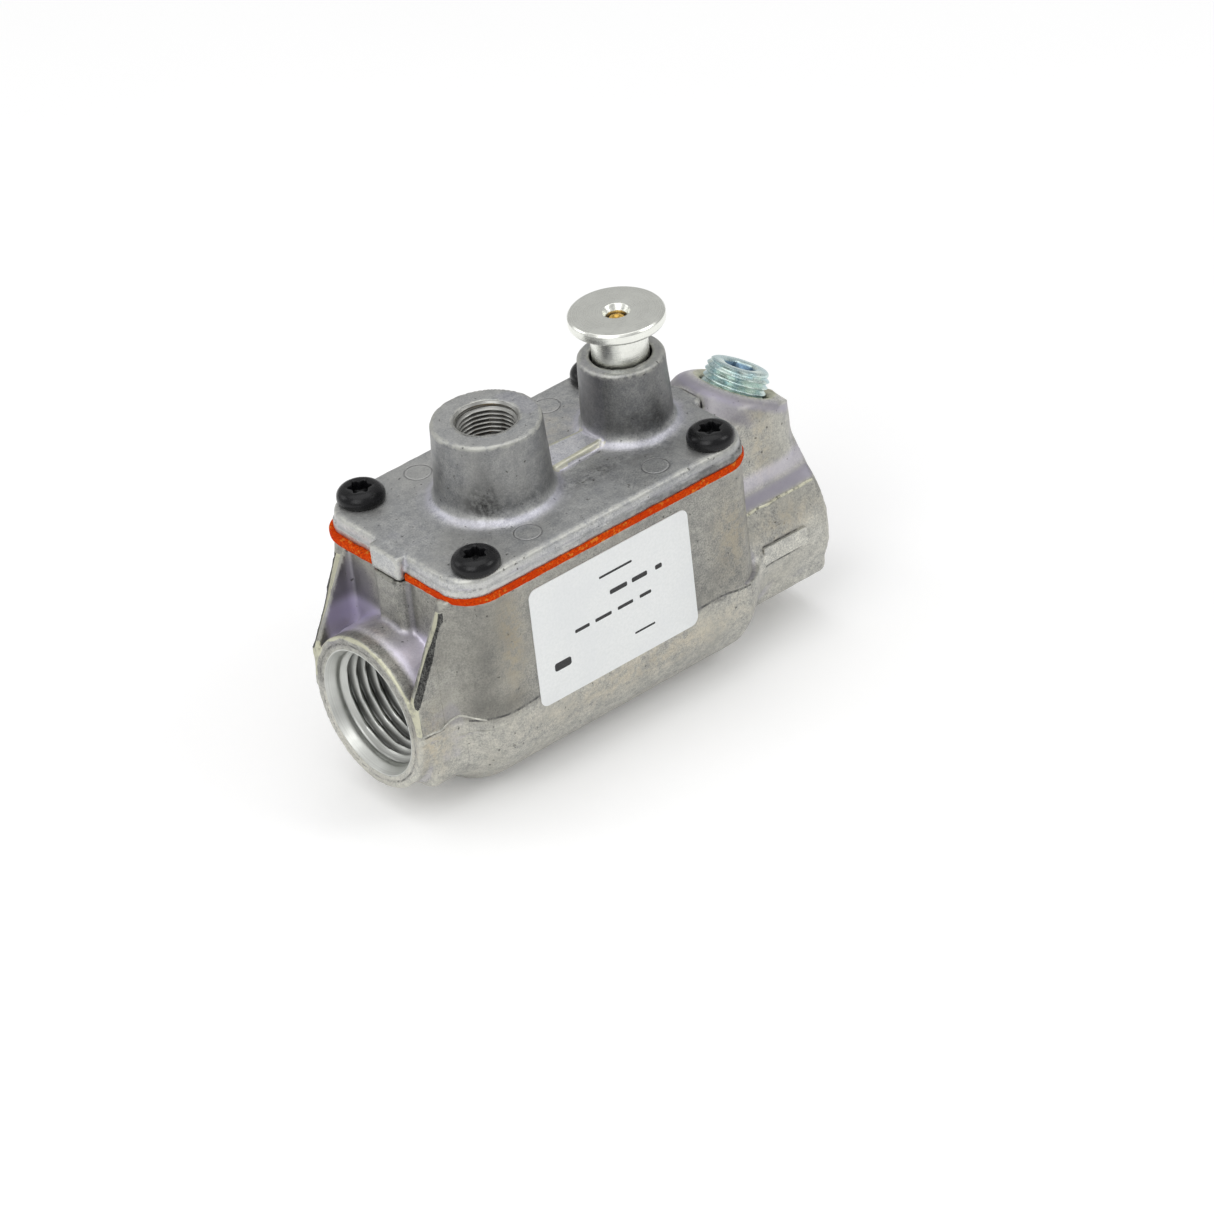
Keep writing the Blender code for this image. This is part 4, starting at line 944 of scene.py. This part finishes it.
def print_ink():
    f = Finish("print_ink", 0.5, 0.0)
    dots = f.noise(0.16, 3.0, 0.7)
    f.colour(f.mix(f.spread(dots, 0.55, 0.75, 0.0, 0.6), (0.015, 0.015, 0.016), grey(0.16)))
    f.roughness(f.spread(dots, 0.3, 0.7, 0.45, 0.6))
    return f.material


def plain_metal(name, base, roughness, size=0.8, metallic=1.0):
    """Metal of the inner pieces: drawn or stamped, with slight tarnish."""
    f = Finish(name, roughness, metallic)
    tarnish = f.noise(size * 3, 3.0, 0.6)
    grain = f.noise(size * 0.4, 3.0, 0.6, shift=7.0)
    f.colour(f.mix(f.spread(tarnish, 0.35, 0.7), scaled(base, 0.7), base))
    f.roughness(f.spread(grain, 0.3, 0.7, roughness * 0.8, min(roughness * 1.35, 1.0)))
    f.bump(grain, 0.01)
    return f.material


def plain_dull(name, dark, light, roughness):
    """Rubber and fibre board."""
    f = Finish(name, roughness, 0.0)
    grain = f.noise(0.4, 4.0, 0.65)
    f.colour(f.mix(f.spread(grain, 0.3, 0.7), dark, light))
    f.roughness(f.spread(grain, 0.3, 0.7, roughness * 0.85, min(roughness * 1.15, 1.0)))
    f.bump(grain, 0.02)
    return f.material


def enamelled_wire(name):
    """Copper magnet wire: the windings show as fine level ridges."""
    f = Finish(name, 0.35, 0.9)
    height = f.add("ShaderNodeSeparateXYZ", {0: f.place}).outputs["Z"]
    wire = 0.32
    wave = f.math("SINE", f.times(height, 2 * math.pi / wire))
    # The troughs between windings are darker: painted shade.
    f.colour(f.mix(f.spread(wave, -0.6, 0.8), (0.22, 0.055, 0.02), (0.70, 0.26, 0.11)))
    f.bump(wave, 0.05)
    return f.material


def make_materials():
    return {
        "cast": cast_metal("cast_aluminium", (0.465, 0.46, 0.43), 1.1),
        "cast_cover": cast_metal("cast_cover", (0.365, 0.37, 0.375), 0.85),
        "pipe_thread": machined_metal(
            "cut_pipe_thread", (0.62, 0.63, 0.60), (0, 0, PIPE_Z), "X", 0.12, (0.34, 0.52)),
        "port_thread": machined_metal(
            "cut_port_thread", (0.44, 0.44, 0.42), (MAGNET_X, 0, 0), "Z", 0.10, (0.34, 0.50)),
        "turned": machined_metal(
            "turned_aluminium", (0.93, 0.94, 0.88), (BUTTON_X, 0, 0), "Z", 0.09, (0.22, 0.38)),
        "black_oxide": black_oxide(),
        "zinc": zinc_plate(),
        "gasket": gasket_fibre(),
        "label": label_paper(),
        "ink": print_ink(),
        "brass": plain_metal("brass", (0.80, 0.50, 0.12), 0.25),
        "steel": plain_metal("steel", (0.55, 0.56, 0.57), 0.32),
        "disc": plain_metal("stamped_aluminium", (0.72, 0.73, 0.73), 0.3),
        "wire": enamelled_wire("enamelled_copper"),
        "rubber": plain_dull("rubber", (0.012, 0.012, 0.012), (0.030, 0.030, 0.029), 0.7),
        "fibre_board": plain_dull("fibre_board", (0.20, 0.10, 0.045), (0.36, 0.20, 0.10), 0.8),
    }


# Pieces

def add_piece(obj, finish, *nodes, body="housing"):
    """Gives a piece its material, hides the CAD nodes that it stands for and sets it on the body it rides
    on.
    """
    obj.data.materials.append(MATERIAL[finish])
    if nodes:
        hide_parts(*nodes)
    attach(obj, body)


def make_castings():
    body = cast_piece("valve_body_casting", body_distance, BODY_LOW, BODY_HIGH, 0.55, body_shading)
    add_piece(body, "cast", "valve_body")
    cover = cast_piece("cover_casting", cover_distance, COVER_LOW, COVER_HIGH, 0.42, cover_shading)
    add_piece(cover, "cast_cover", "cover")


def thread_wave(turns):
    """Zero at a crest and one at a root, for a 60 degree thread with slightly rounded tops."""
    ramp = np.abs(2 * (turns - np.floor(turns)) - 1)
    return rise(ramp, 0.04, 0.96) * 0.4 + ramp * 0.6


def thread_sleeve(name, finish, profile, pitch, depth, start, end, taper, outer, place, axis):
    """The cut inside of a threaded bore. Profile gives (distance in, radius) before the thread starts."""
    steps = 120
    turn = angles(steps) / (2 * math.pi)
    loops = circles([(outer, -0.02)] + [(radius, -distance) for distance, radius in profile], steps)
    crest = profile[-1][1]
    # Painted shade in the thread's roots, deepening further in.
    root_shades = [np.zeros(steps)] * len(loops)
    for distance in np.arange(start, end, pitch / 12):
        fade = rise(distance, start, start + pitch * 0.8) * fall(distance, end - pitch, end)
        wave = thread_wave(distance / pitch - turn)
        radius = crest - taper * (distance - start) - depth * fade * (1 - wave)
        loops.append(circle(radius, -distance, steps))
        root_shades.append(wave * fade + 0.35 * (distance - start) / (end - start))
    foot = crest - taper * (end - start) - depth * 1.2
    loops += circles([(foot, -end - 0.6), (outer, -end - 0.6)], steps)
    root_shades += [np.ones(steps)] * 2
    points, faces = skin(loops, ring=True, flip=True)
    sleeve = new_object(name, placed(points, place, axis), faces, 50.0)
    set_point_values(sleeve, root=np.concatenate(root_shades))
    add_piece(sleeve, finish)


def make_threads():
    mouth = [(0.0, 11.0), (0.12, 10.88), (0.35, 10.82), (0.42, 10.74), (0.75, 10.66), (0.82, 10.58),
             (1.2, 10.47), (1.27, 10.40), (1.9, 10.22)]
    for end, x, way in (("inlet", BODY_LOW[0], -1), ("outlet", HALF_LENGTH, 1)):
        thread_sleeve(f"{end}_thread", "pipe_thread", mouth, PIPE_PITCH, 1.05, 2.0, 14.0, 1 / 32,
                      BORE_RADIUS + 0.12, (x, 0, PIPE_Z), (way, 0, 0))
    lead_in = [(0.0, 5.25), (0.35, 5.0), (0.5, 5.05)]
    thread_sleeve("thermocouple_thread", "port_thread", lead_in, FINE_PITCH, 0.52, 0.6, 7.2, 0.0,
                  5.45, (MAGNET_X, 0, MAGNET_BOSS_TOP), (0, 0, 1))


def gasket_outline(half, corner, steps):
    """Points evenly along a rounded rectangle about the box's centre."""
    path = outline((BOX_X, 0.0), half, corner, 40)
    path = np.vstack([path, path[:1]])
    return resampled(path, np.linspace(0, distance_along(path)[-1], steps, endpoint=False))


def make_gasket():
    """Fills the gap under the cover with a rough edge, and stands out a little at its back inlet corner."""
    steps, slip = 900, 0.8
    outer = gasket_outline(GASKET_HIGH[:2] - (BOX_X + 0.08, 0.08), 6.4, steps)
    inner = gasket_outline(CHAMBER_HALF, 4.0, steps)
    first = int(np.argmin(np.linalg.norm(inner - outer[0] * 0.86, axis=1)))
    inner = np.roll(inner, -first, axis=0)
    x, y = outer.T
    out = unit(outer - (BOX_X, 0.0))
    rough = 0.05 * ripple(x, y, 0, 3.0, 41) + 0.035 * ripple(x, y, 0, 1.1, 43)
    notched = (np.abs(y) < PILLAR_HALF[1] + 0.1) & (np.abs(x - BOX_X) > 28)
    low, high = DECK_Z - 0.02, COVER_BOTTOM + 0.02
    loops = []
    for share, inset in ((0.0, 0.14), (0.22, 0.02), (0.5, 0.0), (0.78, 0.02), (1.0, 0.14)):
        ring = outer + out * (rough - 0.03 - inset)[:, None]
        ring = np.clip(ring, GASKET_LOW[:2], GASKET_HIGH[:2])
        ring[:, 0] -= slip * rise(BOX_X - x, 20.0, 30.0) * rise(y, -9.0, 9.0)
        ring[notched, 0] = BOX_X + np.sign(ring[notched, 0] - BOX_X) * (BOX_HALF[0] - 0.1)
        loops.append(np.column_stack([ring, np.full(steps, low + (high - low) * share)]))
    for height in (high, low):
        loops.append(np.column_stack([inner, np.full(steps, height)]))
    add_piece(new_object("fibre_gasket", *skin(loops, ring=True), 40.0), "gasket", "cover_gasket")


def make_cover_screws():
    """Pan heads with a six-lobe recess."""
    steps = 96
    lobe = 1.66 + 0.27 * np.cos(6 * angles(steps)) + 0.03 * np.cos(12 * angles(steps))
    for number in range(1, 5):
        node = f"cover_screw_{number}"
        low, high = box_mm(node)
        top, seat, reach = high[2], COVER_TOP + 0.02, (high[0] - low[0]) / 2
        recess = [(lobe * 0.3, top - 1.95), (lobe * 0.93, top - 1.6), (lobe, top - 0.28),
                  (lobe + 0.10, top - 0.10), (0.35 * (lobe + 0.2) + 0.65 * 2.3, top - 0.01)]
        head = [(2.55, top, 0), (3.35, top - 0.32, 0.4), (reach - 0.03, top - 1.1, 0.5),
                (reach, seat + 0.35, 0.3), (reach - 0.25, seat, 0.1), (1.8, seat, 0),
                (1.8, low[2] + 0.5, 0), (1.3, low[2], 0)]
        points, faces = skin(circles(recess + rounded_profile(head), steps), flip=True)
        points = points @ np.array(Matrix.Rotation(number * 0.9, 3, "Z")).T + centre_mm(node) * (1, 1, 0)
        add_piece(new_object(f"pan_screw_{number}", points, faces, 42.0), "black_oxide", node)


def make_button():
    """The turned button with its countersunk centre, and the brass rod that shows in it."""
    low, high = box_mm("reset_button")
    rod_low, rod_high = box_mm("push_rod")
    reach, rod_reach = (high[0] - low[0]) / 2, (rod_high[0] - rod_low[0]) / 2
    hole, stem, place = rod_reach + 0.25, 4.7, (BUTTON_X, 0, 0)
    groove, groove_radius, groove_height = DECK_Z + 15.8, 3.4, 1.4
    corners = [
        (hole, BUTTON_TOP - 1.6, 0), (hole, BUTTON_TOP - 0.95, 0.1), (2.35, BUTTON_TOP - 0.02, 0.12),
        (reach - 0.34, BUTTON_TOP - 0.03, 0.12), (reach, BUTTON_TOP - 0.4, 0.12),
        (reach, BUTTON_TOP - 1.75, 0.3), (reach - 0.5, BUTTON_TOP - 2.15, 0.2), (5.3, BUTTON_TOP - 2.2, 0.3),
        (stem, BUTTON_TOP - 2.7, 0.4), (stem, groove, 0.05), (groove_radius, groove, 0),
        (groove_radius, groove - groove_height, 0), (stem, groove - groove_height, 0.1),
        (stem, low[2], 0.2), (hole, low[2], 0)]
    points, faces = skin(circles(rounded_profile(corners, 5), 128), ring=True, flip=True)
    button = new_object("turned_button", points + place, faces, 40.0)
    add_piece(button, "turned", "reset_button", body="button")

    rod_top, rod_foot = rod_high[2], rod_low[2]
    corners = [
        (0, rod_top - 0.35, 0), (0.45, rod_top - 0.25, 0.1), (0.8, rod_top, 0.15),
        (rod_reach - 0.15, rod_top - 0.1, 0.1), (rod_reach, rod_top - 0.4, 0.1),
        (rod_reach, rod_foot + 1.0, 0.2), (0.7, rod_foot, 0.1), (0, rod_foot, 0)]
    profile = [(max(radius, 0.001), height) for radius, height in rounded_profile(corners)]
    points, faces = skin(circles(profile[::-1], 64))
    add_piece(new_object("peened_rod", points + place, faces, 35.0), "brass", "push_rod", body="button")


def make_side_plug():
    """The threaded plug of the side port, with its hexagon socket."""
    steps = 120
    turn = angles(steps)
    proud, sunk, radius = 3.38, 7.0, 5.45
    hexagon = np.minimum(2.42 / np.cos(np.mod(turn, math.pi / 3) - math.pi / 6), 2.72)
    loops = circles([
        (hexagon * 0.2, proud - 3.6), (hexagon * 0.98, proud - 3.3), (hexagon, proud - 0.45),
        (np.maximum(hexagon, 2.55) + 0.14, proud - 0.12), (3.1, proud - 0.03), (3.9, proud),
        (radius - 0.8, proud - 0.02), (radius - 0.55, proud - 0.2)], steps)
    for height in np.arange(proud - 0.35, -2.6, -PLUG_PITCH / 11):
        fade = rise(proud - height, 0.2, 1.2)
        wave = thread_wave((height - proud) / PLUG_PITCH + turn / (2 * math.pi))
        loops.append(circle(radius - 0.5 * (1 - fade) - 0.62 * wave * (0.4 + 0.6 * fade), height, steps))
    loops += circles([(radius - 0.3, -2.8), (radius - 0.3, 0.6 - sunk), (radius - 0.9, -sunk)], steps)
    points, faces = skin(loops, flip=True)
    plug = new_object("threaded_plug", placed(points, PORT_FACE, PORT_AXIS), faces, 48.0)
    # The hexagon socket's points get painted shade.
    inside = (np.hypot(points[:, 0], points[:, 1]) < 2.8) & (points[:, 2] < proud - 0.3)
    set_point_values(plug, deep=inside)
    add_piece(plug, "zinc", "side_plug")


def flat_patch(centre, half, corner, front, back, dome=0.0):
    """A thin rounded rectangle that faces -Y."""
    ring, middle = outline(centre, half, corner, 9), np.asarray(centre)
    loops = []
    for scale, y in ((1.0, back), (1.0, front + dome), (0.996, front), (0.6, front), (0.2, front)):
        flat = middle + (ring - middle) * scale
        loops.append(np.column_stack([flat[:, 0], np.full(len(flat), y), flat[:, 1]]))
    return skin(loops, flip=True)


def make_label():
    """The sticker, and plain bars where a real one has its print."""
    low, high = box_mm("rating_label")
    centre, half = centre_mm("rating_label")[[0, 2]], (high - low)[[0, 2]] / 2
    wall = -BOX_HALF[1]
    label = flat_patch(centre, half, 1.5, wall - 0.16, wall + 0.1, 0.03)
    add_piece(new_object("blank_label", *label, 30.0), "label", "rating_label")

    rows = [                                     # height, thickness, then each bar's middle and width
        (6.9, 0.42, [(1.0, 6.8)]),
        (3.3, 0.85, [(1.2, 3.6), (5.6, 3.2), (9.6, 1.4)]),
        (-0.4, 0.62, [(-6.8, 3.0), (-2.4, 3.4), (2.2, 3.2), (6.4, 2.4)]),
        (-6.6, 0.36, [(5.6, 4.2)]),
        (-5.0, 1.5, [(-11.4, 3.4)]),
    ]
    all_points, all_faces = [], []
    for height, thick, bars in rows:
        for x, width in bars:
            points, faces = flat_patch(centre + (x, height), (width / 2, thick / 2), min(thick, width) * 0.3,
                                       wall - 0.175, wall - 0.12)
            all_faces += [tuple(len(all_points) + i for i in face) for face in faces]
            all_points.extend(points)
    add_piece(new_object("label_bars", all_points, all_faces, 30.0), "ink")


def on_body(points):
    """Moves points onto the body's skin along its slope, and gives the slope there."""
    for _ in range(4):
        slope = unit(slope_of(body_solid, points, 0.05))
        points = points - slope * body_solid(*points.T)[:, None]
    return points, unit(slope_of(body_solid, points, 0.05))


def bead(name, path, width, height, seed, worn=0.0):
    """A thin uneven ridge of casting flash along the body, pale and spotted where it is worn."""
    path = np.asarray(path, float)
    length = distance_along(path)[-1]
    places = np.linspace(0, length, max(int(length / 0.3), 8))
    points, normal = on_body(resampled(path, places))
    side = unit(np.cross(normal, unit(np.gradient(points, axis=0))))
    fade = np.minimum(1, np.minimum(places, places[-1] - places) / 1.5)
    rough = 0.65 + 0.35 * ripple(places, 0, 0, 2.2, seed) + 0.2 * ripple(places, 0, 0, 0.8, seed + 1)
    tall = height * fade * np.clip(rough, 0.15, 1.4)
    points = points + side * 0.10 * ripple(places, 0, 0, 3.1, seed + 2)[:, None]
    loops = []
    for across, up in ((-0.5, -0.12), (-0.28, 0.6), (0.0, 1.0), (0.28, 0.6), (0.5, -0.12), (0.0, -0.3)):
        lift = np.where(up > 0, up * tall, up * width * 0.5)
        loops.append(points + side * across * width + normal * lift[:, None])
    skin_points, faces = skin(np.stack(loops, axis=1))
    ridge = new_object(name, np.clip(skin_points, BODY_LOW, BODY_HIGH), faces, 60.0)
    spots = np.repeat(ripple(places, 0, 0, 0.9, seed + 3) > 0.45, len(loops))
    stain = np.append(spots, [False, False]) * worn
    shades = {**FAR_FROM_LINES, "edge": 1.3, "tone": 1.0, "crest": worn - 1.0, "stain": stain}
    set_point_values(ridge, **shades)
    add_piece(ridge, "cast")


def make_flash():
    """Parting-line flash of the body casting, on both sides."""
    for side, way in (("front", -1), ("back", 1)):
        inlet = [(BODY_LOW[0] + 0.4, way * 13.5, PIPE_Z + 1.2), (BOX_X - 34.6, way * 13.9, PIPE_Z + 1.0),
                 (BOX_X - 31.6, way * 15.4, PIPE_Z + 1.9), (BOX_X - 30.9, way * 16.4, PIPE_Z + 1.2),
                 (BOX_X - 28.0, way * 18.1, PIPE_Z + 0.9)]
        bead(f"inlet_flash_{side}", inlet, 0.42, 0.24, 51)
        outlet = [(BOX_X + 31.5, way * 12.2, DECK_Z - 14.75), (HALF_LENGTH - 0.4, way * 12.2, DECK_Z - 14.6)]
        bead(f"outlet_flash_{side}", outlet, 0.5, 0.28, 57, worn=1.0)


def make_outlet_pads():
    """The smooth raised strip on each side of the outlet block."""
    centre = (BOX_X + PAD_MIDDLE[0], PIPE_Z + PAD_MIDDLE[1])
    for side, way in (("front", -1), ("back", 1)):
        points, faces = flat_patch(centre, PAD_HALF, 0.3, -OUTLET_RADIUS - 0.3, -OUTLET_RADIUS + 1.6, 0.12)
        points = points * (1, -way, 1)
        faces = [face[::-1] for face in faces] if way > 0 else faces
        pad = new_object(f"outlet_pad_{side}", points, faces, 30.0)
        # The strip's face is lighter; its thin sides get painted shade.
        front = np.abs(points[:, 1]) > OUTLET_RADIUS + 0.17
        set_point_values(pad, **FAR_FROM_LINES, tone=np.where(front, 1.16, 0.4))
        add_piece(pad, "cast")


def coil(name, node, turns, wire):
    """A finer copy of a spring."""
    low, high = box_mm(node)
    middle = (low + high) / 2
    radius, length = (high[0] - low[0] - wire) / 2, high[2] - low[2]
    share = np.linspace(0, 1, turns * 40 + 1)
    around = share * turns * 2 * math.pi
    climb = np.clip((share * turns - 0.5) / (turns - 1), 0, 1)
    height = low[2] + wire / 2 + (length - wire) * (0.1 * share + 0.9 * climb)
    out = np.column_stack([np.cos(around), np.sin(around), 0 * around])
    line = np.column_stack([middle[:2] + radius * out[:, :2], height])
    up = unit(np.cross(unit(np.gradient(line, axis=0)), out))
    turn = angles(12)[:, None]
    loops = [point + wire / 2 * (np.cos(turn) * a + np.sin(turn) * b) for point, a, b in zip(line, out, up)]
    spring = new_object(name, *skin(loops), 60.0)
    add_piece(spring, "steel", node)
    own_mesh(spring)


def make_springs():
    coil("return_spring_wire", "button_return_spring", 5, 0.7)
    coil("valve_spring_wire", "valve_spring", 6, 0.45)


INNER_FINISHES = {
    "steel": ["retaining_clip", "magnet_core", "armature", "valve_stem", "rocker_lever", "lever_pivot_pin",
              "lever_bracket", "bracket_screw_1", "bracket_screw_2"],
    "brass": ["terminal_contact", "magnet_base"],
    "wire": ["magnet_coil_1", "magnet_coil_2"],
    "rubber": ["stem_seal_ring", "valve_seal"],
    "fibre_board": ["terminal_insulator"],
    "disc": ["main_valve_disc"],
}


def finish_inner_nodes():
    for finish, nodes in INNER_FINISHES.items():
        for node in nodes:
            mesh = frame["nodes"][node].data
            mesh.materials.clear()
            mesh.materials.append(MATERIAL[finish])


# Studio

def area_light(name, place, size, power):
    """A square light that shines on the middle of the valve. Its place and size are metres."""
    target = Vector((0.0, 0.0, 0.03))
    light = bpy.data.lights.new(name, "AREA")
    light.shape = "RECTANGLE"
    light.size, light.size_y = size, size
    light.energy = power
    obj = bpy.data.objects.new(name, light)
    bpy.context.scene.collection.objects.link(obj)
    obj.location = place
    obj.rotation_euler = (target - Vector(place)).to_track_quat("-Z", "Y").to_euler()


def make_studio():
    area_light("top", (0.0, 0.05, 0.95), 0.9, 2.8)
    area_light("key", (-0.55, -0.25, 0.55), 0.5, 1.7)
    area_light("fill", (0.50, -0.56, 0.66), 0.4, 1.3)
    area_light("rim", (-0.50, 0.62, 0.50), 0.4, 0.7)

    f = Finish("studio_floor", 0.9, 0.0, Specular_IOR_Level=0.1)
    f.colour(f.mix(f.noise(60.0, 2.0), grey(0.93), grey(0.95)))
    f.shader.inputs["Emission Color"].default_value = (1.0, 1.0, 1.0, 1.0)
    f.shader.inputs["Emission Strength"].default_value = 0.12
    size, level = 3000.0, -0.02
    corners = [(x * size, y * size, level) for x, y in ((-1, -1), (1, -1), (1, 1), (-1, 1))]
    floor = new_object("studio_floor", corners, [(0, 1, 2, 3)], 35.0)
    floor.data.materials.append(f.material)

    world = bpy.data.worlds.new("studio_air")
    bpy.context.scene.world = world
    world.use_nodes = True
    background = world.node_tree.nodes["Background"]
    background.inputs["Color"].default_value = (1.0, 1.0, 1.0, 1.0)
    background.inputs["Strength"].default_value = 0.5
    bpy.context.scene.view_settings.view_transform = "Standard"


def make_camera():
    """Looks at the valve from its inlet end and label side, from above."""
    azimuth, elevation, roll = (math.radians(angle) for angle in (-36.404, 33.168, -6.678))
    to_right, upwards, distance = 10.829, -18.34, 980.4          # from the middle of the deck
    turn = Matrix.Rotation(azimuth, 3, "Z") @ Matrix.Rotation(math.pi / 2 - elevation, 3, "X")
    turn = turn @ Matrix.Rotation(roll, 3, "Z")
    place = Vector((BOX_X, 0, DECK_Z)) + turn @ Vector((to_right, upwards, distance))
    data = bpy.data.cameras.new("camera")
    data.sensor_width = 36.0
    data.lens = 181.1
    data.clip_start = 0.05
    camera = bpy.data.objects.new("camera", data)
    bpy.context.scene.collection.objects.link(camera)
    camera.matrix_world = Matrix.Translation(place * MM) @ turn.to_4x4()
    bpy.context.scene.camera = camera


MATERIAL = make_materials()
make_camera()
make_studio()
make_castings()
make_threads()
make_gasket()
make_cover_screws()
make_button()
make_side_plug()
make_label()
make_flash()
make_outlet_pads()
make_springs()
finish_inner_nodes()
